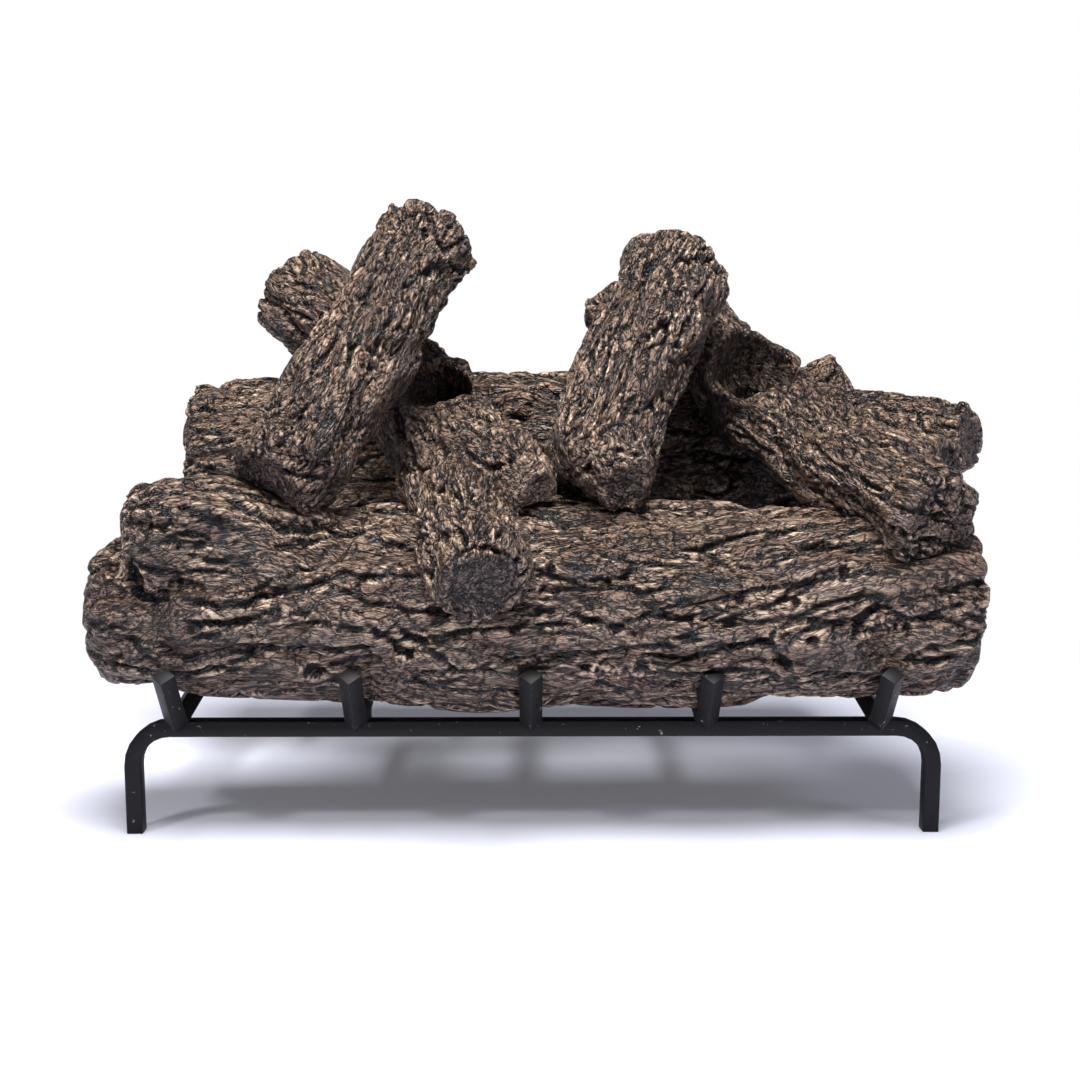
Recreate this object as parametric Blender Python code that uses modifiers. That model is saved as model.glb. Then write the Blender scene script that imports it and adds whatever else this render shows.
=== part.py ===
"""Vented gas log set: six cast refractory logs stacked on a welded steel bar grate.

Metres, +Z up, the fire's front towards -Y. The grate stands on its front leg bar and two rear legs.
The origin is the middle of the whole set's footprint, on the hearth.
"""

import math

import bmesh
import bpy
from mathutils import Matrix, Vector, noise

# Grate: square mild steel bar, cut, bent and welded
BAR_SIDE = 0.0111
GRATE_WIDTH = 0.559
CROSSBAR_TOP_HEIGHT = 0.0795
GRATE_DEPTH = 0.260
LEG_BEND_RADIUS = 0.026
FINGER_PITCH = 0.1195
FINGER_OVERHANG = 0.018
FINGER_NOTCH_DEPTH = 0.0058
FINGER_SLOPE = math.radians(6.4)
PRONG_LEAN = math.radians(38.0)
PRONG_REACH = 0.0510
PRONG_FORWARD = 0.0120
PRONG_BEND_RADIUS = 0.0100
REAR_CROSSBAR_LENGTH = 0.500
REAR_LEG_SPREAD = 0.290
WELD_GAP = 0.0003

# Logs: cast refractory cement, sizes over the bark
FRONT_LOG_LENGTH = 0.590
FRONT_LOG_DIAMETER = 0.137
REAR_LOG_LENGTH = 0.534
REAR_LOG_HEIGHT = 0.204
REAR_LOG_THICKNESS = 0.130
REAR_FOOT_DEPTH = 0.0120
LOG_SPACING = 0.195
LEFT_CROSS_DIAMETER = 0.084
LEFT_HOLLOW_DIAMETER = 0.080
MIDDLE_CROSS_DIAMETER = 0.088
RIGHT_HOLLOW_DIAMETER = 0.084
STACK_HEIGHT = 0.145
LEFT_BORE_DIAMETER = 0.050
LEFT_BORE_DEPTH = 0.042
RIGHT_BORE_DIAMETER = 0.064
RIGHT_BORE_DEPTH = 0.044
LEDGE_DEPTH = 0.014
NEST_DEPTH = 0.0020
SEAT_GAP = 0.00038
SIDE_PLAY = 0.0015

# Bark: slow swellings of the whole log, and ridges that run along the grain
SWELL_WIDTH = 0.075
SWELL_HEIGHT = 0.0050
RIDGE_WIDTH = 0.0240
RIDGE_LENGTH = 0.0950
RIDGE_HEIGHT = 0.0048
BORE_FLUTE_HEIGHT = 0.0025
FLUTES_PER_TURN = 2.5
END_BARK_SHARE = 0.2
END_SHARPNESS = 3
FOLD_FULLNESS = 5.0
FOLD_TOP_SHARE = 1.5
WANDER_SHARE = 0.7
MOULD_GRAIN = 0.0050
MERGE_DISTANCE = 0.00005
CUT_OVERRUN = 0.0200
LIFT_CLEARANCE = 0.0450
LIFT_STEP = 0.0040

# How finely each log is cast, in triangles
FRONT_LOG_FACETS = 2700
REAR_LOG_FACETS = 1800
LEFT_CROSS_FACETS = 1150
LEFT_HOLLOW_FACETS = 1500
MIDDLE_CROSS_FACETS = 1300
RIGHT_HOLLOW_FACETS = 1650
BEND_STEPS = 6
RUN_STEPS = 5
LIMB_ROUNDNESS = 4
LIFT_STEPS = 4
SOFTENING_STEPS = 2
SMOOTHING_SHARE = 0.5
LIMB_REACH_SHARE = 0.6

# Which bark pattern each mould has
BARK_PATTERNS = {"front_log": 3, "rear_log": 11, "left_hollow_log": 5, "left_cross_log": 8,
                 "right_hollow_log": 14, "middle_cross_log": 20}

# Worked out from the sizes above
HALF_DIAGONAL = BAR_SIDE / math.sqrt(2)
FINGER_HEIGHT = CROSSBAR_TOP_HEIGHT - FINGER_NOTCH_DEPTH + HALF_DIAGONAL / math.cos(FINGER_SLOPE)
PRONG_TURN = math.pi / 2 + FINGER_SLOPE - PRONG_LEAN
PRONG_ROOT = Vector((0, -PRONG_FORWARD, FINGER_HEIGHT - PRONG_FORWARD * math.tan(FINGER_SLOPE)))

# The front log lies in the crook between the fingers' runs and their prongs
CROOK_ANGLE = math.pi - PRONG_TURN
CROOK_REACH = (FRONT_LOG_DIAMETER / 2 + HALF_DIAGONAL - NEST_DEPTH) / math.sin(CROOK_ANGLE / 2)
CROOK_TILT = FINGER_SLOPE + CROOK_ANGLE / 2
FRONT_LOG_Y = PRONG_ROOT.y + CROOK_REACH * math.cos(CROOK_TILT)
FRONT_LOG_Z = PRONG_ROOT.z + CROOK_REACH * math.sin(CROOK_TILT)
FRONT_LOG_TOP = FRONT_LOG_Z + FRONT_LOG_DIAMETER / 2

# The rear log stands with a flat foot on the fingers' upper edges
REAR_LOG_Y = FRONT_LOG_Y + LOG_SPACING
FINGER_TOP = FINGER_HEIGHT + HALF_DIAGONAL / math.cos(FINGER_SLOPE)
FINGER_TOP_AT_REAR = FINGER_TOP + REAR_LOG_Y * math.tan(FINGER_SLOPE)
REAR_LOG_Z = FINGER_TOP_AT_REAR - REAR_FOOT_DEPTH + REAR_LOG_HEIGHT / 2
REAR_LOG_TOP = REAR_LOG_Z + REAR_LOG_HEIGHT / 2


def clear_scene():
    """Removes what the file opened with."""
    for thing in list(bpy.data.objects):
        bpy.data.objects.remove(thing, do_unlink=True)


def make_collection(name):
    """Adds a collection to the scene."""
    collection = bpy.data.collections.new(name)
    bpy.context.scene.collection.children.link(collection)
    return collection


def make_material(name, color, roughness, metallic):
    """A Principled material with a plain colour."""
    material = bpy.data.materials.new(name)
    material.use_nodes = True
    shader = material.node_tree.nodes["Principled BSDF"]
    shader.inputs["Base Color"].default_value = (*color, 1)
    shader.inputs["Roughness"].default_value = roughness
    shader.inputs["Metallic"].default_value = metallic
    material.diffuse_color = (*color, 1)
    return material


def make_object(name, mesh, collection, material=None):
    """Puts a mesh in the scene under a piece's name."""
    mesh.name = name
    thing = bpy.data.objects.new(name, mesh)
    collection.objects.link(thing)
    if material is not None:
        mesh.materials.clear()
        mesh.materials.append(material)
    return thing


def finish_bmesh(bm, name, collection, material=None):
    """Turns a finished bmesh into an object."""
    mesh = bpy.data.meshes.new(name)
    bm.to_mesh(mesh)
    bm.free()
    return make_object(name, mesh, collection, material)


def evaluated_mesh(thing):
    """The object's mesh as its modifiers leave it."""
    graph = bpy.context.evaluated_depsgraph_get()
    return bpy.data.meshes.new_from_object(thing.evaluated_get(graph))


def settle_modifiers(thing):
    """Replaces an object's mesh by the mesh that its modifiers make."""
    old = thing.data
    mesh = evaluated_mesh(thing)
    thing.modifiers.clear()
    thing.data = mesh
    bpy.data.meshes.remove(old)
    mesh.name = thing.name


def keep_largest_body(thing):
    """Deletes the crumbs that a cut can leave beside the main body."""
    bm = bmesh.new()
    bm.from_mesh(thing.data)
    unseen = set(bm.verts)
    bodies = []
    while unseen:
        body = set()
        edge_of_search = [unseen.pop()]
        while edge_of_search:
            vert = edge_of_search.pop()
            body.add(vert)
            for edge in vert.link_edges:
                other = edge.other_vert(vert)
                if other in unseen:
                    unseen.remove(other)
                    edge_of_search.append(other)
        bodies.append(body)
    main = max(bodies, key=len)
    crumbs = [vert for body in bodies if body is not main for vert in body]
    bmesh.ops.delete(bm, geom=crumbs, context="VERTS")
    bm.to_mesh(thing.data)
    bm.free()


def cut(thing, cutter):
    """Cuts one solid by another and keeps the largest piece."""
    boolean = thing.modifiers.new("cut", "BOOLEAN")
    boolean.operation = "DIFFERENCE"
    boolean.solver = "EXACT"
    boolean.use_self = True
    boolean.object = cutter
    settle_modifiers(thing)
    keep_largest_body(thing)


def as_cutter(thing):
    """Marks an object as a cutter, which isn't a piece of the set."""
    thing.hide_render = True
    thing.display_type = "WIRE"
    return thing


def box_cutter(name, low, high, collection):
    """A box between two corners, to cut with."""
    bm = bmesh.new()
    bmesh.ops.create_cube(bm, size=1)
    size = Vector(high) - Vector(low)
    bmesh.ops.scale(bm, vec=size, verts=bm.verts)
    bmesh.ops.translate(bm, vec=(Vector(high) + Vector(low)) / 2, verts=bm.verts)
    return as_cutter(finish_bmesh(bm, name, collection))


def start_bar(center, across, up):
    """Starts a square bar as one square face, its corners set by two side directions."""
    bm = bmesh.new()
    bmesh.ops.create_circle(bm, cap_ends=True, segments=4, radius=HALF_DIAGONAL)
    turn = Matrix((across, up, across.cross(up))).transposed().to_4x4()
    bmesh.ops.transform(bm, matrix=Matrix.Translation(center) @ turn, verts=bm.verts)
    bm.faces.ensure_lookup_table()
    return bm, bm.faces[0]


def grow(bm, face):
    """Extrudes the bar's end face in place and gives back its new end face and corners."""
    is_start_cap = len(bm.faces) == 1
    made = bmesh.ops.extrude_face_region(bm, geom=[face])["geom"]
    if not is_start_cap:
        bmesh.ops.delete(bm, geom=[face], context="FACES_ONLY")
    verts = [item for item in made if isinstance(item, bmesh.types.BMVert)]
    return next(item for item in made if isinstance(item, bmesh.types.BMFace)), verts


def push(bm, face, step):
    """Extrudes the bar straight on and gives back its new end face."""
    face, verts = grow(bm, face)
    bmesh.ops.translate(bm, vec=step, verts=verts)
    return face


def bend(bm, face, center, axis, angle):
    """Bends the bar round a centre in equal steps and gives back its new end face."""
    turn = Matrix.Rotation(angle / BEND_STEPS, 3, axis)
    for _ in range(BEND_STEPS):
        face, verts = grow(bm, face)
        bmesh.ops.rotate(bm, cent=center, matrix=turn, verts=verts)
    return face


def finish_bar(bm, name, collection, material):
    """Closes a bar, with every face out."""
    bmesh.ops.remove_doubles(bm, verts=bm.verts, dist=MERGE_DISTANCE)
    bmesh.ops.recalc_face_normals(bm, faces=bm.faces)
    return finish_bmesh(bm, name, collection, material)


# Sides of a bar that lies flat, given as the directions of its corners
FLAT_A = Vector((1, 1, 0)).normalized()
FLAT_B = Vector((-1, 1, 0)).normalized()


def make_front_leg_bar(collection, material):
    """The front crossbar and both front legs, one bar bent down at each end."""
    side = GRATE_WIDTH / 2 - BAR_SIDE / 2
    level = CROSSBAR_TOP_HEIGHT - BAR_SIDE / 2
    corner = level - LEG_BEND_RADIUS
    bm, face = start_bar(Vector((-side, 0, 0)), FLAT_A, FLAT_B)
    face = push(bm, face, Vector((0, 0, corner)))
    face = bend(bm, face, Vector((-side + LEG_BEND_RADIUS, 0, corner)), Vector((0, 1, 0)), math.pi / 2)
    face = push(bm, face, Vector((2 * (side - LEG_BEND_RADIUS), 0, 0)))
    face = bend(bm, face, Vector((side - LEG_BEND_RADIUS, 0, corner)), Vector((0, 1, 0)), math.pi / 2)
    push(bm, face, Vector((0, 0, -corner)))
    return finish_bar(bm, "front_leg_bar", collection, material)


def rear_crossbar_top():
    """Height of the rear crossbar, which the sloping fingers are notched over."""
    middle = FINGER_HEIGHT + GRATE_DEPTH * math.tan(FINGER_SLOPE)
    return middle - HALF_DIAGONAL / math.cos(FINGER_SLOPE) + FINGER_NOTCH_DEPTH


def make_rear_crossbar(collection, material):
    """The straight bar that carries the fingers' rear ends."""
    level = rear_crossbar_top() - BAR_SIDE / 2
    corner_a = Vector((0, 1, 1)).normalized()
    corner_b = Vector((0, -1, 1)).normalized()
    bm, face = start_bar(Vector((-REAR_CROSSBAR_LENGTH / 2, GRATE_DEPTH, level)), corner_a, corner_b)
    push(bm, face, Vector((REAR_CROSSBAR_LENGTH, 0, 0)))
    return finish_bar(bm, "rear_crossbar", collection, material)


def make_rear_leg(name, x, collection, material):
    """A straight leg butted under the rear crossbar."""
    bm, face = start_bar(Vector((x, GRATE_DEPTH, 0)), FLAT_A, FLAT_B)
    push(bm, face, Vector((0, 0, rear_crossbar_top() - BAR_SIDE - WELD_GAP)))
    return finish_bar(bm, name, collection, material)


def make_finger(name, x, collection, material):
    """One grate finger: a bar turned on its corner, bent up at the front into a prong."""
    run_back = Vector((0, math.cos(FINGER_SLOPE), math.sin(FINGER_SLOPE)))
    run_up = Vector((0, -math.sin(FINGER_SLOPE), math.cos(FINGER_SLOPE)))
    prong_way = Vector((0, -math.sin(PRONG_LEAN), math.cos(PRONG_LEAN)))
    root = PRONG_ROOT + Vector((x, 0, 0))
    set_off = PRONG_BEND_RADIUS * math.tan(PRONG_TURN / 2)
    rear_end = root + run_back * ((GRATE_DEPTH + FINGER_OVERHANG - root.y) / run_back.y)
    bend_start = root + run_back * set_off
    bm, face = start_bar(rear_end, Vector((1, 0, 0)), run_up)
    face = push(bm, face, bend_start - rear_end)
    face = bend(bm, face, bend_start + run_up * PRONG_BEND_RADIUS, Vector((1, 0, 0)), -PRONG_TURN)
    push(bm, face, prong_way * (PRONG_REACH - set_off))
    return finish_bar(bm, name, collection, material)


def notch_fingers(fingers, cutters):
    """Notches the fingers' lower edges over both crossbars."""
    reach = GRATE_WIDTH / 2
    half = BAR_SIDE / 2 + WELD_GAP
    rear_top = rear_crossbar_top()
    front = box_cutter("front_notch", (-reach, -half, CROSSBAR_TOP_HEIGHT - CUT_OVERRUN),
                       (reach, half, CROSSBAR_TOP_HEIGHT + WELD_GAP), cutters)
    rear = box_cutter("rear_notch", (-reach, GRATE_DEPTH - half, rear_top - CUT_OVERRUN),
                      (reach, GRATE_DEPTH + half, rear_top + WELD_GAP), cutters)
    for finger in fingers:
        cut(finger, front)
        cut(finger, rear)


def smooth_run(stations):
    """A smooth line through a limb's stations, each a place and a radius."""
    ends = [stations[0]] + list(stations) + [stations[-1]]
    points = []
    for before, start, end, after in zip(ends, ends[1:], ends[2:], ends[3:]):
        for step in range(RUN_STEPS):
            t = step / RUN_STEPS
            points.append(0.5 * (2 * start + (end - before) * t
                                 + (2 * before - 5 * start + 4 * end - after) * t ** 2
                                 + (3 * start - before - 3 * end + after) * t ** 3))
    points.append(stations[-1])
    return points


def limb_tube(run, tall_share=1):
    """A round or oval tapered tube along a run, as a bmesh with welded ends."""
    curve = bpy.data.curves.new("limb", "CURVE")
    curve.dimensions = "3D"
    curve.bevel_depth = 1
    curve.bevel_resolution = LIMB_ROUNDNESS
    curve.use_fill_caps = True
    spline = curve.splines.new("POLY")
    spline.points.add(len(run) - 1)
    for point, place in zip(spline.points, run):
        point.co = (place.x, place.y, place.z, 1)
        point.radius = place.w
    thing = bpy.data.objects.new("limb", curve)
    bpy.context.scene.collection.objects.link(thing)
    mesh = evaluated_mesh(thing)
    bpy.data.objects.remove(thing, do_unlink=True)
    bm = bmesh.new()
    bm.from_mesh(mesh)
    bpy.data.meshes.remove(mesh)
    bmesh.ops.remove_doubles(bm, verts=bm.verts, dist=MERGE_DISTANCE)
    middle = sum((place.z for place in run)) / len(run)
    for vert in bm.verts:
        vert.co.z = middle + (vert.co.z - middle) * tall_share
    bmesh.ops.recalc_face_normals(bm, faces=bm.faces)
    return bm


def fuse_limbs(name, runs, tall_share, collection, material):
    """Joins a log's limbs into one body with soft crotches, as one cast."""
    whole = bmesh.new()
    for run in runs:
        tube = limb_tube(run, tall_share)
        mesh = bpy.data.meshes.new("limb")
        tube.to_mesh(mesh)
        tube.free()
        whole.from_mesh(mesh)
        bpy.data.meshes.remove(mesh)
    log = finish_bmesh(whole, name, collection, material)
    remesh = log.modifiers.new("fuse", "REMESH")
    remesh.mode = "VOXEL"
    remesh.voxel_size = MOULD_GRAIN
    smooth = log.modifiers.new("soften", "SMOOTH")
    smooth.factor = SMOOTHING_SHARE
    smooth.iterations = SOFTENING_STEPS
    settle_modifiers(log)
    log.data.materials.clear()
    log.data.materials.append(material)
    return log


def grain_frames(runs):
    """Points along all limbs, each with its direction and its distance along the limb."""
    frames = []
    for run in runs:
        places = [place.to_3d() for place in run]
        travelled = 0
        for index, place in enumerate(places):
            ahead = places[min(index + 1, len(places) - 1)]
            behind = places[max(index - 1, 0)]
            if index:
                travelled += (place - places[index - 1]).length
            frames.append((place, (ahead - behind).normalized(), travelled, run[index].w))
    return frames


def roughen(log, runs, pattern):
    """Gives a log its swellings and long bark ridges, and leaves its cut ends nearly flat."""
    frames = grain_frames(runs)
    bm = bmesh.new()
    bm.from_mesh(log.data)
    bm.normal_update()
    shift = Vector((pattern, pattern / 3, -pattern))
    moves = []
    for vert in bm.verts:
        place, way, travelled, _ = min(
            frames, key=lambda f: (f[0] - vert.co).length - LIMB_REACH_SHARE * f[3])
        offset = vert.co - place
        along = travelled + offset.dot(way)
        side = offset - way * offset.dot(way)
        swell = noise.noise(vert.co / SWELL_WIDTH + shift)
        wander = Vector([noise.noise(vert.co / SWELL_WIDTH - shift * turn) for turn in (1, 2, 3)])
        grain = side / RIDGE_WIDTH + way * (along / RIDGE_LENGTH) + wander * WANDER_SHARE + shift
        ridge = min(FOLD_FULLNESS * abs(noise.noise(grain)), FOLD_TOP_SHARE) - 1
        flat_end = abs(vert.normal.dot(way)) ** END_SHARPNESS
        height = SWELL_HEIGHT * swell + RIDGE_HEIGHT * ridge
        moves.append(vert.normal * height * (1 - (1 - END_BARK_SHARE) * flat_end))
    for vert, move in zip(bm.verts, moves):
        vert.co += move
    bm.to_mesh(log.data)
    bm.free()


def simplify(log, facets):
    """Keeps the form of the bark with about the stated number of triangles."""
    log.data.calc_loop_triangles()
    decimate = log.modifiers.new("simplify", "DECIMATE")
    decimate.ratio = facets / len(log.data.loop_triangles)
    decimate.use_collapse_triangulate = True
    settle_modifiers(log)


def cast_log(name, limbs, facets, collection, material, tall_share=1):
    """Casts one log from its limbs, each a list of stations."""
    runs = [smooth_run(stations) for stations in limbs]
    log = fuse_limbs(name, runs, tall_share, collection, material)
    roughen(log, runs, BARK_PATTERNS[name])
    simplify(log, facets)
    return log


def stations_from(shares, radius):
    """Stations of an upper log: shares of the set's width, depth and height and of the log's radius."""
    stations = []
    for along, depth, height, thick in shares:
        rest_line = FRONT_LOG_TOP + depth * (REAR_LOG_TOP - FRONT_LOG_TOP)
        stations.append(Vector((along * FRONT_LOG_LENGTH, FRONT_LOG_Y + depth * LOG_SPACING,
                                rest_line + height * STACK_HEIGHT, thick * radius)))
    return stations


def lying_stations(shares, length, radius, y, z):
    """Stations of a lying log: shares of its own length and radius."""
    return [Vector((along * length, y + back * radius, z + up * radius, thick * radius))
            for along, back, up, thick in shares]


def hollow_cutter(name, mouth, inner, radius, depth, cutters):
    """A fluted, tapering hollow from above its mouth down towards an inner place."""
    way = (inner.to_3d() - mouth.to_3d()).normalized()
    start = mouth.to_3d() - way * CUT_OVERRUN
    run = [start.to_4d()]
    run[0].w = HOLLOW_FLARE_SHARE * radius
    for deep, wide in HOLLOW_SHARES:
        place = (mouth.to_3d() + way * (deep * depth)).to_4d()
        place.w = wide * radius
        run.append(place)
    tube = limb_tube(run)
    bmesh.ops.triangulate(tube, faces=tube.faces)
    for vert in tube.verts:
        offset = vert.co - start
        side = offset - way * offset.dot(way)
        if side.length > MERGE_DISTANCE:
            flute = noise.noise(side.normalized() * FLUTES_PER_TURN + way)
            vert.co += side.normalized() * BORE_FLUTE_HEIGHT * flute
    return as_cutter(finish_bmesh(tube, name, cutters))


def swollen_copy(thing, shift, cutters):
    """A copy of a bar, larger by the seat gap all round, and a little way off."""
    bm = bmesh.new()
    bm.from_mesh(thing.data)
    bm.normal_update()
    moves = [vert.normal * SEAT_GAP * vert.calc_shell_factor() + shift for vert in bm.verts]
    for vert, move in zip(bm.verts, moves):
        vert.co += move
    return as_cutter(finish_bmesh(bm, "seat_of_" + thing.name, cutters))


def shifted_copy(thing, shift, cutters):
    """A copy of a log, a little way off, to cut with."""
    bm = bmesh.new()
    bm.from_mesh(thing.data)
    bmesh.ops.translate(bm, verts=bm.verts, vec=shift)
    return as_cutter(finish_bmesh(bm, "seat_of_" + thing.name, cutters))


def seat_on_bars(log, bars, cutters):
    """Cuts a log's seats on the grate's bars, at the seat gap, and clears it from before and below them."""
    shifts = [Vector((0, 0, 0)), Vector((0, -BAR_SIDE / 2, 0)), Vector((0, -BAR_SIDE, 0)),
              Vector((0, 0, -SIDE_PLAY / 2)), Vector((0, 0, -SIDE_PLAY))]
    for bar in bars:
        for shift in shifts:
            cut(log, swollen_copy(bar, shift, cutters))


def seat_on_logs(log, supporters, cutters, beside=None):
    """Cuts a log's seats on other logs: at the seat gap above them, and with side play all round.

    Where a log hangs down beside a supporter, its seat is also cut for the first steps of its way up,
    with the supporter pushed to that side.
    """
    shifts = [Vector((0, 0, SEAT_GAP)), Vector((SIDE_PLAY, 0, 0)), Vector((-SIDE_PLAY, 0, 0)),
              Vector((0, SIDE_PLAY, 0)), Vector((0, -SIDE_PLAY, 0))]
    if beside:
        shifts += [Vector((0, 0, -LIFT_STEP * (step + 1))) + beside * SIDE_PLAY for step in range(LIFT_STEPS)]
    for supporter in supporters:
        for shift in shifts:
            cut(log, shifted_copy(supporter, shift, cutters))


def lift_path(name, run, margin, height, cutters):
    """The space that a limb sweeps when it is lifted straight up."""
    tube = limb_tube(run)
    places = [vert.co.copy() for vert in tube.verts]
    tube.free()
    middle = sum(places, Vector((0, 0, 0))) / len(places)
    bm = bmesh.new()
    for place in places:
        wider = place + (place - middle).normalized() * margin
        bm.verts.new(wider)
        bm.verts.new(wider + Vector((0, 0, height)))
    bmesh.ops.convex_hull(bm, input=list(bm.verts))
    inside = [vert for vert in bm.verts if not vert.link_faces]
    bmesh.ops.delete(bm, geom=inside, context="VERTS")
    bmesh.ops.recalc_face_normals(bm, faces=bm.faces)
    return as_cutter(finish_bmesh(bm, name, cutters))


# A hollow from its mouth down: share of its depth, and of its radius
HOLLOW_FLARE_SHARE = 1.10
HOLLOW_SHARES = ((0, 1.02), (0.45, 0.92), (0.85, 0.80), (1, 0.60))
LEDGE_BORE_SHARE = 0.62

# The fingers' places across the grate in pitches, as welded by hand
FINGER_PLACE_SHARES = (-2.017, -1.002, -0.014, 0.982, 1.964)

# Stations: share of the log's length, of its radius back and up, and of its radius as thickness
FRONT_LOG_SHARES = ((-0.503, -0.03, -0.17, 0.64), (-0.466, -0.03, -0.14, 0.79), (-0.381, -0.02, -0.07, 0.90),
                    (-0.288, 0, -0.03, 0.97), (-0.102, 0, -0.05, 1.01), (0.119, 0, -0.05, 1.03),
                    (0.322, 0, -0.03, 1.0), (0.458, 0, 0.02, 0.96), (0.50, 0, 0.02, 0.86))
FRONT_STUB_SHARES = ((-0.254, -0.15, 0.46, 0.58), (-0.356, -0.38, 0.69, 0.54), (-0.42, -0.50, 0.78, 0.50),
                     (-0.458, -0.56, 0.78, 0.35))
REAR_LOG_SHARES = ((-0.507, 0, -0.02, 0.88), (-0.46, 0, 0, 0.96), (-0.36, 0, 0, 1.0), (-0.08, 0, 0.03, 1.02),
                   (0.14, 0, 0.06, 1.0), (0.33, 0, 0, 0.97), (0.44, 0, 0.06, 0.90), (0.475, 0, 0.08, 0.78))
REAR_KNOB_SHARES = ((0.37, 0, 0.90, 0.50), (0.447, -0.08, 1.20, 0.38), (0.474, -0.10, 1.36, 0.30))

# Stations: shares of the front log's length, of the log spacing, of the stack's height above the
# line from the front log's top to the rear log's top, and of the log's own radius
LEFT_CROSS_SHARES = ((-0.271, -0.134, 0.256, 0.87), (-0.239, 0.01, 0.426, 0.82),
                     (-0.188, 0.194, 0.649, 0.8), (-0.154, 0.348, 0.861, 0.82),
                     (-0.125, 0.471, 1.0, 0.86))
LEFT_CROSS_HEEL_SHARES = ((-0.268, -0.031, 0.227, 0.86), (-0.298, -0.165, 0.176, 0.83))
LEFT_HOLLOW_SHARES = ((-0.32, 1.076, 0.413, 1.01), (-0.266, 0.923, 0.346, 0.97),
                      (-0.207, 0.758, 0.277, 0.97), (-0.151, 0.63, 0.085, 0.97),
                      (-0.108, 0.358, -0.055, 0.93), (-0.085, 0.03, -0.055, 0.9),
                      (-0.063, -0.277, -0.051, 0.85), (-0.053, -0.442, -0.072, 0.75))
LEFT_MOUTH_SHARES = ((-0.112, 0.646, -0.157, 0.88), (-0.117, 0.456, 0.25, 0.88))
LEFT_STUB_SHARES = ((-0.095, 0.43, 0.03, 0.85), (-0.064, 0.215, 0.065, 0.82), (-0.024, 0.03, 0.132, 0.6),
                    (0.012, -0.113, 0.148, 0.39))
MIDDLE_CROSS_SHARES = ((0.073, 0.041, 0.05, 0.86), (0.081, 0.112, 0.156, 0.9),
                       (0.103, 0.215, 0.327, 0.89), (0.139, 0.348, 0.537, 0.9),
                       (0.166, 0.461, 0.716, 0.9), (0.183, 0.553, 0.838, 0.89))
MIDDLE_STUB_SHARES = ((0.085, 0.03, 0.166, 0.61), (0.103, -0.17, 0.193, 0.45))
MIDDLE_KNOT_SHARES = ((0.115, 0.476, 0.597, 0.39), (0.066, 0.461, 0.654, 0.27))
RIGHT_HOLLOW_SHARES = ((0.161, 0.994, 0.424, 0.74), (0.224, 0.82, 0.285, 0.83),
                       (0.285, 0.646, 0.105, 0.88), (0.349, 0.338, 0.025, 0.9),
                       (0.4, -0.011, 0.078, 0.86), (0.442, -0.318, 0.13, 0.74))
RIGHT_MOUTH_SHARES = ((0.281, 0.733, -0.095, 0.9), (0.283, 0.553, 0.279, 0.92))
RIGHT_ARM_SHARES = ((0.322, 0.523, 0.034, 0.86), (0.4, 0.41, 0.027, 0.81), (0.478, 0.297, 0.089, 0.74),
                    (0.527, 0.205, 0.167, 0.64))
RIGHT_WEB_SHARES = ((0.359, 0.389, -0.003, 0.81), (0.424, 0.164, 0.079, 0.74),
                    (0.466, -0.001, 0.128, 0.62))


def make_grate(collection, steel, cutters):
    """The welded grate, one piece for each length of bar."""
    make_front_leg_bar(collection, steel)
    make_rear_crossbar(collection, steel)
    make_rear_leg("left_rear_leg", -REAR_LEG_SPREAD / 2, collection, steel)
    make_rear_leg("right_rear_leg", REAR_LEG_SPREAD / 2, collection, steel)
    fingers = []
    for index, share in enumerate(FINGER_PLACE_SHARES):
        name = "grate_finger_%d" % (index + 1)
        fingers.append(make_finger(name, share * FINGER_PITCH, collection, steel))
    notch_fingers(fingers, cutters)
    return fingers


def make_front_log(collection, ceramic, fingers, cutters):
    """The long front log, with a fat broken branch at its upper left."""
    radius = FRONT_LOG_DIAMETER / 2
    limbs = [lying_stations(shares, FRONT_LOG_LENGTH, radius, FRONT_LOG_Y, FRONT_LOG_Z)
             for shares in (FRONT_LOG_SHARES, FRONT_STUB_SHARES)]
    log = cast_log("front_log", limbs, FRONT_LOG_FACETS, collection, ceramic)
    seat_on_bars(log, fingers, cutters)
    return log


def foot_cutter(cutters):
    """The space under the rear log's flat foot, level with the fingers' sloping upper edges."""
    reach = REAR_LOG_LENGTH
    foot = box_cutter("rear_foot", (-reach, -reach, -REAR_LOG_HEIGHT), (reach, reach, 0), cutters)
    place = Matrix.Translation((0, REAR_LOG_Y, FINGER_TOP_AT_REAR + SEAT_GAP))
    foot.data.transform(place @ Matrix.Rotation(FINGER_SLOPE, 4, "X"))
    return foot


def make_rear_log(collection, ceramic, cutters):
    """The tall rear log, an oval cast with a flat foot that stands on the fingers' rear runs."""
    radius = REAR_LOG_THICKNESS / 2
    limbs = [lying_stations(shares, REAR_LOG_LENGTH, radius, REAR_LOG_Y, REAR_LOG_Z)
             for shares in (REAR_LOG_SHARES, REAR_KNOB_SHARES)]
    tall_share = REAR_LOG_HEIGHT / REAR_LOG_THICKNESS
    log = cast_log("rear_log", limbs, REAR_LOG_FACETS, collection, ceramic, tall_share)
    cut(log, foot_cutter(cutters))
    return log


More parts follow.
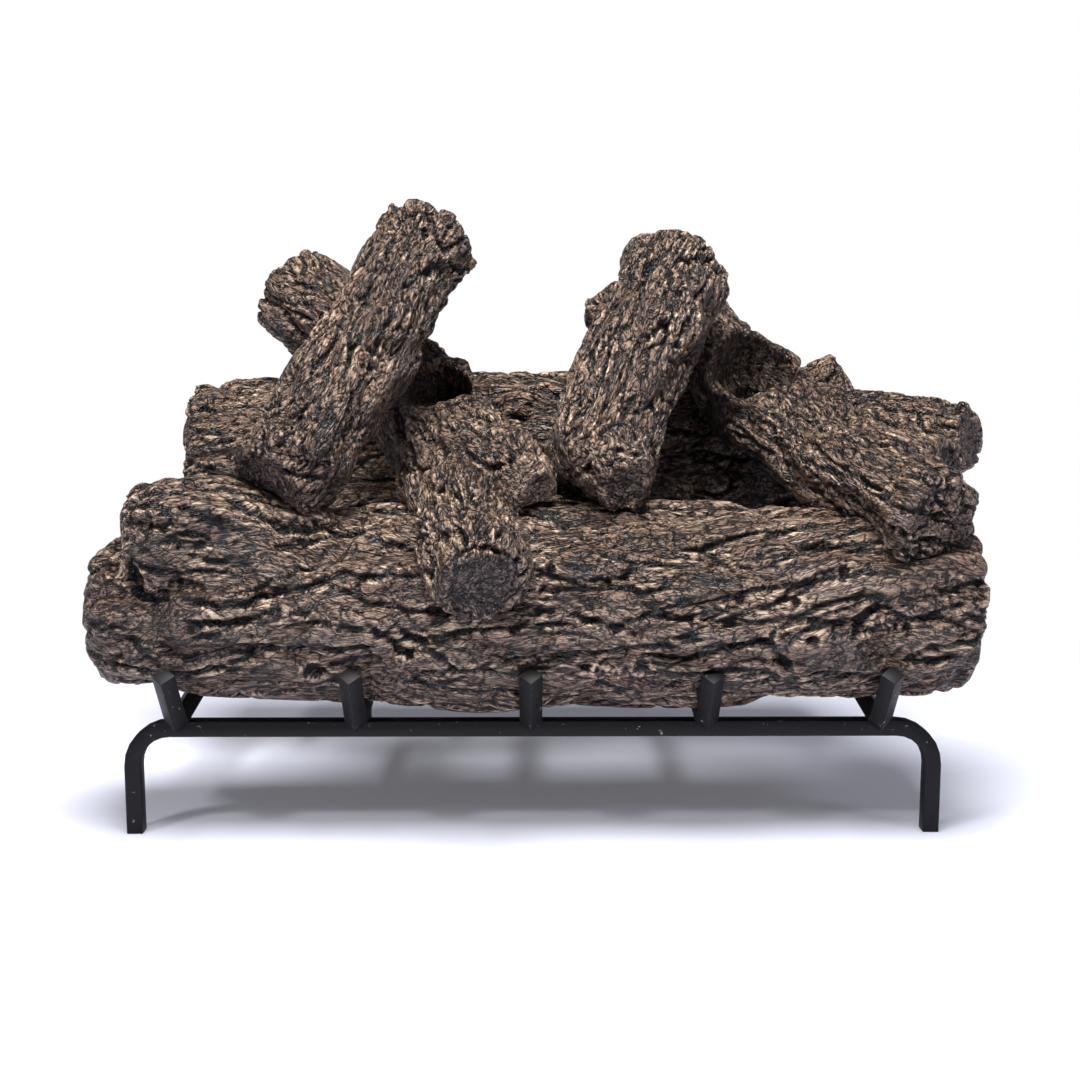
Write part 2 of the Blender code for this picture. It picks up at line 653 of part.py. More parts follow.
def make_left_hollow_log(collection, ceramic, supporters, cutters):
    """The left forked log: a cut upper end, a hollow elbow, a short stub and a long leg."""
    radius = LEFT_HOLLOW_DIAMETER / 2
    limbs = [stations_from(shares, radius)
             for shares in (LEFT_HOLLOW_SHARES, LEFT_MOUTH_SHARES, LEFT_STUB_SHARES)]
    log = cast_log("left_hollow_log", limbs, LEFT_HOLLOW_FACETS, collection, ceramic)
    inner, mouth = limbs[1]
    bore = LEFT_BORE_DIAMETER / 2
    cut(log, hollow_cutter("left_hollow", mouth, inner, bore, LEFT_BORE_DEPTH, cutters))
    seat_on_logs(log, supporters, cutters, Vector((0, -1, 0)))
    return log, smooth_run(limbs[2])


def make_left_cross_log(collection, ceramic, supporters, cutters):
    """The left leaning log: its heel on the front log, its back on the hollow log's shoulder."""
    radius = LEFT_CROSS_DIAMETER / 2
    limbs = [stations_from(shares, radius) for shares in (LEFT_CROSS_SHARES, LEFT_CROSS_HEEL_SHARES)]
    log = cast_log("left_cross_log", limbs, LEFT_CROSS_FACETS, collection, ceramic)
    seat_on_logs(log, supporters, cutters)
    return log


def make_right_hollow_log(collection, ceramic, supporters, cutters):
    """The right forked log: a wide hollow with a ledge inside, and two arms with a web between them."""
    radius = RIGHT_HOLLOW_DIAMETER / 2
    limbs = [stations_from(shares, radius)
             for shares in (RIGHT_HOLLOW_SHARES, RIGHT_MOUTH_SHARES, RIGHT_ARM_SHARES,
                            RIGHT_WEB_SHARES)]
    log = cast_log("right_hollow_log", limbs, RIGHT_HOLLOW_FACETS, collection, ceramic)
    inner, mouth = limbs[1]
    bore = RIGHT_BORE_DIAMETER / 2
    upper_depth = RIGHT_BORE_DEPTH - LEDGE_DEPTH
    cut(log, hollow_cutter("right_hollow", mouth, inner, bore, upper_depth, cutters))
    ledge = bore * LEDGE_BORE_SHARE
    cut(log, hollow_cutter("right_ledge", mouth, inner, ledge, RIGHT_BORE_DEPTH, cutters))
    seat_on_logs(log, supporters, cutters)
    return log


def make_middle_cross_log(collection, ceramic, supporters, stub_run, cutters):
    """The middle leaning log, with a knot on its left side and a cut stub at its foot."""
    radius = MIDDLE_CROSS_DIAMETER / 2
    limbs = [stations_from(shares, radius)
             for shares in (MIDDLE_CROSS_SHARES, MIDDLE_STUB_SHARES, MIDDLE_KNOT_SHARES)]
    log = cast_log("middle_cross_log", limbs, MIDDLE_CROSS_FACETS, collection, ceramic)
    lower_run = stub_run[len(stub_run) // 2:]
    margin = SWELL_HEIGHT + SEAT_GAP
    cut(log, lift_path("stub_lift_path", lower_run, margin, LIFT_CLEARANCE, cutters))
    seat_on_logs(log, supporters, cutters, Vector((1, 0, 0)))
    return log


def center_set(collection):
    """Moves every piece so that the origin is the middle of the footprint, on the hearth."""
    corners = [thing.matrix_world @ Vector(corner) for thing in collection.objects
               for corner in thing.bound_box]
    low = Vector([min(corner[axis] for corner in corners) for axis in range(3)])
    high = Vector([max(corner[axis] for corner in corners) for axis in range(3)])
    shift = Vector((-(low.x + high.x) / 2, -(low.y + high.y) / 2, -low.z))
    base = bpy.data.objects.new("set_base", None)
    bpy.context.scene.collection.objects.link(base)
    base.location = shift
    for thing in collection.objects:
        thing.parent = base
    print("moved to the footprint's middle by", tuple(round(value, 5) for value in shift))


def main():
    """Builds the whole set."""
    clear_scene()
    log_set = make_collection("gas_log_set")
    cutters = make_collection("cutters")
    steel = make_material("painted_steel", (0.022, 0.020, 0.020), 0.5, 0)
    ceramic = make_material("cast_ceramic", (0.150, 0.110, 0.085), 0.75, 0)
    fingers = make_grate(log_set, steel, cutters)
    front_log = make_front_log(log_set, ceramic, fingers, cutters)
    rear_log = make_rear_log(log_set, ceramic, cutters)
    left_hollow, stub_run = make_left_hollow_log(log_set, ceramic, [front_log, rear_log], cutters)
    make_left_cross_log(log_set, ceramic, [front_log, left_hollow], cutters)
    right_hollow = make_right_hollow_log(log_set, ceramic, [front_log, rear_log], cutters)
    make_middle_cross_log(log_set, ceramic, [front_log, left_hollow, right_hollow], stub_run, cutters)
    center_set(log_set)


main()
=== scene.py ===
# %% [markdown]
# A gas log set: six casts of refractory cement, stacked in a grate of welded square bar.
# The CAD part comes in first and stays as it is. Every piece made here is measured against it, so the
# box of the CAD part is noted before anything is added.

# %% Load the CAD part
import math
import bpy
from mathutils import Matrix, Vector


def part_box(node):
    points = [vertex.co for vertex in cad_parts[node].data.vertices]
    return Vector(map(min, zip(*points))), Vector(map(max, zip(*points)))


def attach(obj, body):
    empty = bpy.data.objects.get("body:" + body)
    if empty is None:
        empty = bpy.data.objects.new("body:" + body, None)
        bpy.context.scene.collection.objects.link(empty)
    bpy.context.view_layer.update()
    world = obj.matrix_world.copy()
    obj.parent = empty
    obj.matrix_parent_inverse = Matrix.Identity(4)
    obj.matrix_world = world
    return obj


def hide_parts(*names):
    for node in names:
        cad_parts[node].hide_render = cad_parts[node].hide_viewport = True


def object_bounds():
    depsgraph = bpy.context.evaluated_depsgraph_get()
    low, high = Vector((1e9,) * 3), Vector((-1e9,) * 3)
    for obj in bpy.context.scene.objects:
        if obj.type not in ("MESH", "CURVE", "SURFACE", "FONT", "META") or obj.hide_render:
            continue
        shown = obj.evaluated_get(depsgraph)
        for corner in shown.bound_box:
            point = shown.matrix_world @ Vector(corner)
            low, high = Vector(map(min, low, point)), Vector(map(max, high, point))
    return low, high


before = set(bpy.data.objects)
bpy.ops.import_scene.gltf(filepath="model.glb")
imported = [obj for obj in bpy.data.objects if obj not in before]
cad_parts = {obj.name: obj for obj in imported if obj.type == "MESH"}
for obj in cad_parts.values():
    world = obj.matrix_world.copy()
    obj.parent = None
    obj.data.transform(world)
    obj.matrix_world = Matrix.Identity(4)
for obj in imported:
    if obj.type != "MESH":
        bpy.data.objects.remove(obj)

from types import SimpleNamespace

import bmesh
import bpy
import numpy as np
from mathutils import Vector
from mathutils.bvhtree import BVHTree

cad_low, cad_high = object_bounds()
print("CAD box in mm", [round(v * 1000, 1) for v in (*cad_low, *cad_high)])

# %% [markdown]
# Places on the set are easiest to give from the middle of the front bar, in millimetres, because that
# bar can be measured in any photograph of such a grate. One function turns them into the frame's metres.
# Another puts a new object into the scene.

# %% A ruler that starts at the front bar
bar_low, bar_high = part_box("front_leg_bar")
BAR_MIDDLE = Vector(((bar_low.x + bar_high.x) / 2, (bar_low.y + bar_high.y) / 2, 0))
MM = 0.001


def at(x, y, z):
    """A point in the frame, from millimetres right of, behind and above the front bar's middle."""
    return BAR_MIDDLE + Vector((x, y, z)) * MM


def new_object(name, data):
    """An object in the scene that shows the given mesh, lamp or camera."""
    made = bpy.data.objects.new(name, data)
    bpy.context.scene.collection.objects.link(made)
    return made


print("front bar middle", [round(v, 4) for v in BAR_MIDDLE])

# %% [markdown]
# The camera stands about a metre in front of the set, a little above the logs, and looks down at it by
# 8.5 degrees. It has no shift and no depth of field, so other views can use the same camera.

# %% Camera
camera = new_object("camera", bpy.data.cameras.new("camera"))
bpy.context.scene.camera = camera
camera.location = at(-2.0, -990.3, 351.0)
CAMERA_TILT, CAMERA_TURN, CAMERA_LENS = math.radians(8.49), math.radians(0.38), 49.66
look = Vector((math.sin(CAMERA_TURN) * math.cos(CAMERA_TILT),
               math.cos(CAMERA_TURN) * math.cos(CAMERA_TILT), -math.sin(CAMERA_TILT)))
camera.rotation_euler = look.to_track_quat("-Z", "Y").to_euler()
camera.data.lens = CAMERA_LENS
print("camera at", [round(v, 3) for v in camera.location])

# %% [markdown]
# Colours are written as a paint maker would, as hex values, and one function turns them into the linear
# numbers that a shader works with. Another adds a node, its settings and its links in one call. The rest
# are the few shapes that both paints are mixed from, in the tree of the material that is being made.

# %% Colour and node helpers


def paint(code):
    """Linear colour from an sRGB hex code."""
    parts = [int(code[i:i + 2], 16) / 255 for i in (1, 3, 5)]
    linear = [p / 12.92 if p <= 0.04045 else ((p + 0.055) / 1.055) ** 2.4 for p in parts]
    return (*linear, 1.0)


def add_node(tree, kind, settings=(), links=(), values=()):
    """Adds one node: its settings, the sockets that other nodes feed, and its fixed socket values."""
    node = tree.nodes.new(kind)
    for name, value in dict(settings).items():
        setattr(node, name, value)
    for name, value in dict(values).items():
        node.inputs[name].default_value = value
    for name, socket in dict(links).items():
        tree.links.new(socket, node.inputs[name])
    return node


def new_material(name, **shader_values):
    """A Principled material with its plain values set, and the tree and shader to go on with."""
    material = bpy.data.materials.new(name)
    material.use_nodes = True
    shader = material.node_tree.nodes["Principled BSDF"]
    for socket, value in shader_values.items():
        shader.inputs[socket.replace("_", " ")].default_value = value
    return material, material.node_tree, shader


def maths(operation, *values):
    """One Math node; a number is set on its socket and a socket is linked to it."""
    node = add_node(tree, "ShaderNodeMath", {"operation": operation})
    for socket, value in zip(node.inputs, values):
        if isinstance(value, (int, float)):
            socket.default_value = value
        else:
            tree.links.new(value, socket)
    return node.outputs[0]


def blend(total, *terms):
    """A start value and, for each socket, its distance from a middle value times its share."""
    for socket, middle, share in terms:
        off = maths("SUBTRACT", socket, middle) if middle else socket
        total = maths("MULTIPLY_ADD", off, share, total)
    return total


def speckle(size_mm, detail, roughness=0.5):
    """Even noise with spots this many mm wide."""
    return add_node(tree, "ShaderNodeTexNoise", links={"Vector": place},
                    values={"Scale": 1 / (size_mm * MM), "Detail": detail,
                            "Roughness": roughness}).outputs["Fac"]


def mix_colours(share, first, second):
    """Goes from one colour to another as the share rises; a colour is a socket or a hex code."""
    node = add_node(tree, "ShaderNodeMix", {"data_type": "RGBA"})
    tree.links.new(share, node.inputs[0])
    for socket, colour in zip(node.inputs[6:8], (first, second)):
        if isinstance(colour, str):
            socket.default_value = paint(colour)
        else:
            tree.links.new(colour, socket)
    return node.outputs[2]


def ramp(value, stops):
    """Colours by value: each stop is a place from 0 to 1 and a hex colour."""
    node = add_node(tree, "ShaderNodeValToRGB", links={"Fac": value})
    elements = node.color_ramp.elements
    elements.remove(elements[-1])
    elements[0].position = stops[0][0]
    elements[0].color = paint(stops[0][1])
    for stop, code in stops[1:]:
        elements.new(stop).color = paint(code)
    return node.outputs[0]


print("mid bark brown", [round(v, 3) for v in paint("#5b4a3e")])

# %% [markdown]
# Real bark isn't random: it has long ropes of fibre, plates that have torn apart along the grain, and
# pits where insects and fire got in. The mould maker pressed real bark, so the cast has all of these.
# Two kinds of noise can draw them. Gradient noise gives soft hills and, folded over, ropes. Cell noise
# gives plates with gaps between them. Both are written here on whole arrays, because a cast has about
# a hundred thousand points and a loop over them in Python would take minutes.

# %% Noise for many points at once
TABLE_SIZE = 1024
CHANCES = 997
AXIS_PRIMES = (73856093, 19349663, 83492791)
SEED_PRIME, MIX_PRIME = 40503, 1274126177
GRADIENTS = np.random.default_rng(41).normal(size=(TABLE_SIZE, 3))
GRADIENTS /= np.linalg.norm(GRADIENTS, axis=1)[:, None]
SPOTS = np.random.default_rng(43).uniform(0.08, 0.92, size=(TABLE_SIZE, 3))


def lattice(cells, seed):
    """A fixed random whole number for each cell of an endless grid."""
    first, second, third = (cells * AXIS_PRIMES).T
    mixed = first ^ second ^ third ^ seed * SEED_PRIME
    mixed = (mixed ^ (mixed >> 13)) * MIX_PRIME
    return (mixed ^ (mixed >> 16)) & 0xFFFFFFF


def soft_noise(points, seed=0):
    """Gradient noise from about -1 to 1, with hills one unit wide."""
    cells = np.floor(points).astype(np.int64)
    inside = points - cells
    ease = inside ** 3 * (inside * (inside * 6 - 15) + 10)
    total = np.zeros(len(points))
    for corner in np.ndindex(2, 2, 2):
        way = GRADIENTS[lattice(cells + corner, seed) % TABLE_SIZE]
        share = np.where(corner, ease, 1 - ease).prod(axis=1)
        total += ((inside - corner) * way).sum(axis=1) * share
    return np.clip(total * 1.6, -1, 1)


def fold_noise(points, seed=0, tight=2.4):
    """Rounded folds from -1 to 1, with a sharp crease wherever two folds meet."""
    return 2 * np.minimum(np.abs(soft_noise(points, seed)) * tight, 1) ** 0.7 - 1


def plate_noise(points, seed=0):
    """Cells like torn plates: distance to the middle, width of the gap, a number, and the way in."""
    cells = np.floor(points).astype(np.int64)
    inside = points - cells
    nearest = np.full(len(points), 9.0)
    second = np.full(len(points), 9.0)
    number = np.zeros(len(points))
    middle = np.zeros((len(points), 3))
    for corner in np.ndindex(3, 3, 3):
        step = np.array(corner) - 1
        code = lattice(cells + step, seed)
        away = step + SPOTS[code % TABLE_SIZE] - inside
        distance = np.sqrt((away ** 2).sum(axis=1))
        closer = distance < nearest
        second = np.where(closer, nearest, np.minimum(second, distance))
        nearest = np.where(closer, distance, nearest)
        number[closer] = code[closer] // TABLE_SIZE % CHANCES / CHANCES
        middle[closer] = away[closer]
    return nearest, second - nearest, number, middle


trial = np.random.default_rng(1).uniform(0, 40, size=(2000, 3))
print("soft noise spreads by", round(float(soft_noise(trial).std()), 2))

# %% [markdown]
# Bark follows the limb it grew on. So each log is described by the lines that its limbs follow, as points
# with a radius. A frame is carried along each line without twisting, and gives every point of the surface
# its place in the limb: two numbers across the grain and one along it. Noise that is stretched along the
# last number runs with the grain, round every bend and into each branch.

# %% The lines that the limbs follow
LIMBS = {
    "front_log": [
        [(-297, 19, 147, 44), (-275, 19, 149, 54), (-225, 20, 154, 62), (-170, 21, 157, 66),
         (-60, 21, 155, 69), (70, 21, 155, 70), (190, 21, 157, 68), (270, 21, 160, 66), (295, 21, 160, 59)],
        [(-150, 11, 190, 40), (-210, -5, 206, 37), (-248, -13, 212, 34), (-270, -17, 212, 24)]],
    "rear_log": [
        [(-271, 216, 202, 60), (-192, 216, 204, 67), (-43, 216, 206, 68), (75, 216, 208, 67),
         (176, 216, 204, 65), (254, 216, 209, 55)],
        [(198, 216, 253, 34), (239, 211, 283, 26), (253, 209, 300, 22)]],
    "left_cross_log": [
        [(-176, -12, 238, 35), (-159, 2, 254, 36), (-141, 22, 288, 35), (-111, 58, 335, 34),
         (-91, 88, 378, 35), (-74, 112, 408, 36)]],
    "left_hollow_log": [
        [(-189, 230, 371, 41), (-157, 200, 349, 39), (-122, 168, 326, 39), (-89, 143, 288, 39),
         (-64, 90, 246, 37), (-50, 26, 220, 36), (-37, -34, 196, 34), (-31, -66, 180, 30)],
        [(-66, 146, 254, 35), (-69, 109, 298, 35)],
        [(-56, 104, 264, 34), (-38, 62, 252, 33), (-14, 26, 247, 24), (7, -2, 238, 15.5)]],
    "middle_cross_log": [
        [(43, 28, 236, 38), (48, 42, 257, 40), (61, 62, 290, 39), (82, 88, 331, 40), (98, 110, 366, 40),
         (108, 128, 391, 39)],
        [(50, 26, 252, 27), (56, 7, 246, 24), (61, -13, 240, 20)],
        [(68, 113, 350, 17), (39, 110, 357, 12)]],
    "right_hollow_log": [
        [(95, 214, 366, 31), (132, 180, 332, 35), (168, 146, 292, 37), (206, 86, 256, 38),
         (236, 18, 236, 36), (261, -42, 219, 31)],
        [(166, 163, 270, 38), (167, 128, 310, 38)],
        [(190, 122, 272, 36), (236, 100, 262, 34), (282, 78, 262, 31), (311, 60, 266, 27)],
        [(212, 96, 256, 34), (250, 52, 250, 31), (275, 20, 244, 26)]],
}
LINE_STEP = 5.0
THICKNESS_PULL = 0.6
BATCH = 20000


def carried_frame(stations):
    """Points every few mm along a limb, each with its way, two sides that don't twist, and travel."""
    rows = np.array(stations, float)
    ends = np.vstack([rows[0] * 2 - rows[1], rows, rows[-1] * 2 - rows[-2]])
    pieces = []
    for before, start, end, after in zip(ends, ends[1:], ends[2:], ends[3:]):
        count = max(2, int(np.linalg.norm((end - start)[:3]) / LINE_STEP))
        t = np.linspace(0, 1, count, endpoint=False)[:, None]
        pieces.append(0.5 * (2 * start + (end - before) * t
                             + (2 * before - 5 * start + 4 * end - after) * t ** 2
                             + (3 * start - before - 3 * end + after) * t ** 3))
    line = np.vstack([*pieces, rows[-1:]])
    ways = np.gradient(line[:, :3], axis=0)
    ways /= np.linalg.norm(ways, axis=1)[:, None]
    side = np.cross(ways[0], (0.3, 0.5, 0.8))
    sides = []
    for way in ways:
        side = side - way * (side @ way)
        side = side / np.linalg.norm(side)
        sides.append(side)
    sides = np.array(sides)
    steps = np.linalg.norm(np.diff(line[:, :3], axis=0), axis=1)
    travel = np.concatenate([[0], np.cumsum(steps)])
    return line, ways, sides, np.cross(ways, sides), travel


def grain_places(points, stations):
    """Each point's place in a limb, in mm: across, across and along, and how far off the limb it is.

    A thick limb pulls points to itself from further off, in batches that don't fill the memory.
    """
    line, ways, sides, others, travel = carried_frame(stations)
    nearest = np.zeros(len(points), int)
    pull = THICKNESS_PULL * line[:, 3]
    for start in range(0, len(points), BATCH):
        some = points[start:start + BATCH]
        apart = np.linalg.norm(some[:, None] - line[None, :, :3], axis=2)
        nearest[start:start + BATCH] = (apart - pull).argmin(axis=1)
    offset = points - line[nearest, :3]
    places = np.stack([(offset * sides[nearest]).sum(axis=1), (offset * others[nearest]).sum(axis=1),
                       travel[nearest] + (offset * ways[nearest]).sum(axis=1)], axis=1)
    return places, np.linalg.norm(offset, axis=1) - pull[nearest]


for name, limbs in LIMBS.items():
    print(name, "grain length", [round(carried_frame(limb)[4][-1]) for limb in limbs], "mm")

# %% [markdown]
# The two long logs were cast from old bark. It lies in long folds, and over these are lens-shaped plates
# with a thin raised rim. The four upper logs have shorter, crumblier bark, full of pits. One recipe draws
# both, and each kind has its own sizes in mm: across the grain, and how many times as long along it.

# %% Recipe for bark
OLD_BARK = dict(fold=19.0, fold_run=5.0, fold_height=3.0, plate=13.0, plate_run=3.0, crack=1.5, rim=0.45,
                rope=8.0, rope_run=3.8, rope_height=1.35, wrinkle=4.4, wrinkle_run=2.2, wrinkle_height=0.6,
                crumb=2.6, crumb_height=0.3, pit=8.5, pit_depth=2.4, pit_share=0.16)
CRUMBLY_BARK = dict(fold=15.0, fold_run=3.6, fold_height=2.4, plate=10.0, plate_run=1.9, crack=1.3, rim=0.35,
                    rope=6.6, rope_run=2.6, rope_height=1.2, wrinkle=3.8, wrinkle_run=1.7, wrinkle_height=0.7,
                    crumb=2.4, crumb_height=0.35, pit=6.5, pit_depth=2.2, pit_share=0.34)
CRACK_SHARE = 0.22
RIM_SHARE = 0.16


def wandering(places, seed):
    """Places in the grain, pushed about so that folds sweep and curl as they do on an old tree."""
    wide = np.stack([soft_noise(places / (100, 100, 150), seed + k) for k in range(3)], axis=1)
    near = np.stack([soft_noise(places / (28, 28, 60), seed + 3 + k) for k in range(3)], axis=1)
    return places + wide * (16, 16, 12) + near * (4, 4, 9)


def bark_height(places, bark, seed):
    """Height of the bark over the bare log, in mm, at each place in the grain."""

    def sized(across, run):
        return places / (across, across, across * run)

    height = bark["fold_height"] * fold_noise(sized(bark["fold"], bark["fold_run"]), seed + 5)
    away, gap, number, middle = plate_noise(sized(bark["plate"], bark["plate_run"]), seed + 6)
    torn = np.clip(0.7 + 1.2 * soft_noise(places / (40, 40, 75), seed + 7), 0.15, 1.25)
    height -= bark["crack"] * torn * np.clip(1 - gap / CRACK_SHARE, 0, 1) ** 1.3
    height += bark["rim"] * torn * np.exp(-((gap - CRACK_SHARE - 0.06) / RIM_SHARE) ** 2)
    leaning = np.sin(number * 40) * middle[:, 0] + np.cos(number * 40) * middle[:, 1]
    height += bark["rim"] * (number - 0.5) + 1.4 * bark["rim"] * leaning
    height += bark["rope_height"] * fold_noise(sized(bark["rope"], bark["rope_run"]), seed + 8)
    height += bark["wrinkle_height"] * fold_noise(sized(bark["wrinkle"], bark["wrinkle_run"]), seed + 9)
    height += bark["crumb_height"] * soft_noise(places / bark["crumb"], seed + 10)
    away, _, chance, _ = plate_noise(sized(bark["pit"], 1.5), seed + 11)
    bowl = np.clip(1 - (away / 0.34) ** 2, 0, 1) * (chance < bark["pit_share"])
    return height - bark["pit_depth"] * bowl


sample = bark_height(np.random.default_rng(2).uniform(0, 300, size=(20000, 3)), OLD_BARK, 5)
print("old bark height in mm, low and high", round(float(sample.min()), 1), round(float(sample.max()), 1))

# %% [markdown]
# Noise gives the kind of bark, but not this bark. The features one knows the casts by were read off the
# photograph, log by log: furrows (depth and half-width in mm, then the pixels they run through),
# ropes of raised bark (height, half-width, pixels), pits (depth, radius, pixel) and ring knots (radius,
# pixel). The sight line through each pixel finds its place on the log. Depths that are judged in a picture
# come out too small, so four factors raise them.

# %% Furrows, ropes, pits and ring knots
PHOTO_SIDE = 1080
FURROW_DEEPER, FURROW_WIDER, ROPE_TALLER, PIT_DEEPER = 1.5, 1.15, 1.7, 1.35
FURROWS = {
    "front_log": [
        (3.5, 3, (170, 592), (200, 603), (235, 606), (270, 596), (300, 588), (330, 578), (350, 573)),
        (3, 2.2, (150, 627), (220, 623), (245, 621), (300, 613), (345, 610), (368, 618)),
        (2.5, 2.5, (240, 644), (290, 648), (320, 645), (348, 655)),
        (2.5, 2, (180, 678), (210, 668), (250, 668)),
        (4, 3, (300, 514), (340, 508), (380, 510), (410, 513)),
        (4.5, 3.5, (220, 495), (245, 510), (280, 527), (305, 528), (345, 524)),
        (4, 3, (262, 550), (300, 543), (340, 536), (380, 529)),
        (3, 2.5, (200, 562), (240, 557), (262, 550)),
        (4.5, 4, (122, 556), (133, 574), (142, 594), (156, 600), (175, 596)),
        (3, 2.2, (345, 582), (380, 573), (402, 566), (420, 562)),
        (3.5, 2.2, (356, 612), (372, 630), (395, 646), (420, 660)),
        (3.5, 2.2, (400, 625), (425, 645), (445, 660), (456, 674)),
        (3, 2, (432, 684), (455, 680), (480, 668), (492, 660)),
        (3, 2.5, (400, 687), (428, 697)),
        (3, 2, (530, 556), (562, 557)),
        (3, 2, (556, 561), (576, 568), (600, 579), (620, 586)),
        (2.5, 1.8, (540, 600), (570, 598), (602, 600)),
        (2.5, 1.8, (506, 646), (512, 632), (530, 618), (545, 611), (575, 614), (600, 622), (607, 634)),
        (2.5, 1.8, (610, 640), (613, 630), (630, 620), (660, 615), (690, 617), (694, 632)),
        (2.5, 2.2, (540, 660), (570, 656), (605, 650), (640, 646), (690, 648)),
        (3.5, 2.5, (695, 648), (730, 646), (760, 643), (770, 643), (785, 662), (800, 680)),
        (3, 2, (690, 578), (735, 580), (750, 577)),
        (2.5, 2, (712, 556), (722, 563), (736, 576)),
        (2.5, 2, (764, 569), (780, 560), (800, 551)),
        (3, 2.5, (780, 600), (790, 590), (805, 584), (815, 586)),
        (2.5, 2, (760, 536), (785, 533), (800, 527), (822, 525)),
        (2.5, 2, (838, 582), (860, 573), (892, 574)),
        (3, 2.5, (905, 656), (930, 646), (958, 640)),
        (2.5, 2, (920, 664), (945, 659), (968, 652)),
        (2.5, 2, (925, 615), (945, 609), (966, 603)),
        (2, 1.8, (700, 622), (740, 620), (770, 622)),
        (2, 1.8, (840, 552), (870, 548), (900, 556)),
        (2.6, 2.2, (620, 582), (640, 593), (662, 590), (674, 585)),
        (3.5, 3.5, (176, 503), (195, 512), (215, 520), (228, 530))],
    "left_cross_log": [
        (3.5, 3, (400, 292), (412, 280), (430, 269), (446, 263)),
        (3, 2, (430, 214), (436, 240), (450, 262), (463, 273)),
        (3, 2, (396, 234), (389, 250), (384, 264)),
        (2.5, 2, (400, 222), (413, 214), (421, 210)),
        (3, 2.2, (318, 320), (330, 300), (345, 285), (354, 270)),
        (3, 2.2, (310, 376), (322, 356), (345, 331)),
        (2.5, 2, (300, 402), (312, 386)),
        (2.5, 2, (362, 330), (352, 352), (346, 372)),
        (2.5, 2, (395, 300), (385, 325), (372, 345)),
        (2.5, 2, (372, 275), (365, 300), (358, 318)),
        (2.5, 2, (330, 395), (335, 420), (345, 440)),
        (2.5, 2, (248, 428), (262, 413), (280, 404), (300, 402)),
        (2.5, 2, (280, 470), (300, 478), (332, 477)),
        (3, 2.2, (246, 442), (256, 458), (250, 482)),
        (2.5, 2, (302, 425), (318, 440), (325, 460))],
    "left_hollow_log": [
        (4, 3, (394, 404), (401, 432), (413, 458), (424, 482)),
        (2.5, 2, (438, 425), (445, 450), (455, 476)),
        (2.5, 1.8, (462, 450), (480, 460), (495, 469), (509, 463), (515, 450)),
        (2.5, 2, (465, 425), (480, 436)),
        (2.5, 1.8, (514, 456), (511, 474), (515, 490)),
        (2.5, 1.8, (524, 449), (546, 462)),
        (3, 1.8, (452, 553), (480, 548), (510, 556), (521, 563)),
        (3, 2, (464, 600), (490, 598), (505, 586), (518, 573)),
        (2.5, 2, (420, 515), (423, 550)),
        (2.5, 2, (440, 490), (437, 515), (441, 545)),
        (2.5, 2, (500, 520), (502, 540)),
        (2.5, 2, (470, 490), (464, 510)),
        (3, 2, (284, 306), (300, 316), (312, 318)),
        (2.5, 2, (275, 290), (300, 284), (322, 290))],
    "middle_cross_log": [
        (3.5, 2.2, (666, 240), (653, 262), (642, 290), (637, 312)),
        (2.5, 2, (701, 290), (691, 315), (681, 340)),
        (3, 2, (674, 330), (656, 345), (641, 356)),
        (2.5, 2, (633, 314), (628, 331)),
        (2.5, 2, (611, 345), (605, 370), (600, 392)),
        (2.5, 2, (636, 394), (629, 405), (622, 420)),
        (3, 2, (660, 388), (664, 402), (674, 406)),
        (2.5, 2, (597, 396), (583, 410), (575, 421)),
        (2.5, 2, (600, 433), (612, 424), (623, 423)),
        (2.5, 2, (675, 262), (668, 290), (662, 312)),
        (2.5, 2, (618, 300), (612, 325)),
        (2.5, 2, (648, 365), (640, 385)),
        (2.5, 2, (560, 430), (575, 440), (590, 438)),
        (3, 2, (584, 470), (600, 458), (618, 450), (640, 455), (649, 470)),
        (2.5, 2, (700, 262), (712, 290), (706, 320))],
    "right_hollow_log": [
        (4.5, 3.5, (842, 438), (870, 445), (900, 443), (926, 456)),
        (3, 2.2, (926, 456), (945, 451), (966, 455)),
        (3, 2.2, (730, 431), (750, 440), (776, 456)),
        (3, 2.2, (735, 450), (746, 458), (762, 471)),
        (3, 2, (740, 405), (755, 425), (780, 445), (796, 461)),
        (2.5, 2, (770, 410), (786, 426)),
        (3, 2, (862, 480), (880, 490), (896, 496)),
        (2.5, 2, (858, 522), (868, 510), (886, 520), (905, 536)),
        (2.5, 2, (900, 505), (925, 515), (950, 515)),
        (2.5, 2, (820, 430), (840, 450), (851, 462)),
        (2.5, 2, (870, 405), (880, 420), (900, 430)),
        (2.5, 2, (915, 410), (925, 430), (950, 440)),
        (2.5, 2, (800, 470), (830, 468), (845, 480)),
        (2.5, 2, (905, 540), (930, 542), (945, 535)),
        (2.5, 2, (810, 395), (830, 405), (850, 410))],
    "rear_log": [
        (3, 2.2, (190, 405), (215, 412), (245, 405)),
        (3, 2.2, (190, 440), (215, 445), (240, 438)),
        (3, 2.2, (490, 372), (520, 378), (560, 380)),
        (3, 2, (500, 395), (530, 405), (560, 418)),
        (3, 2, (195, 465), (215, 470)),
        (2.5, 2, (505, 412), (530, 420))],
}
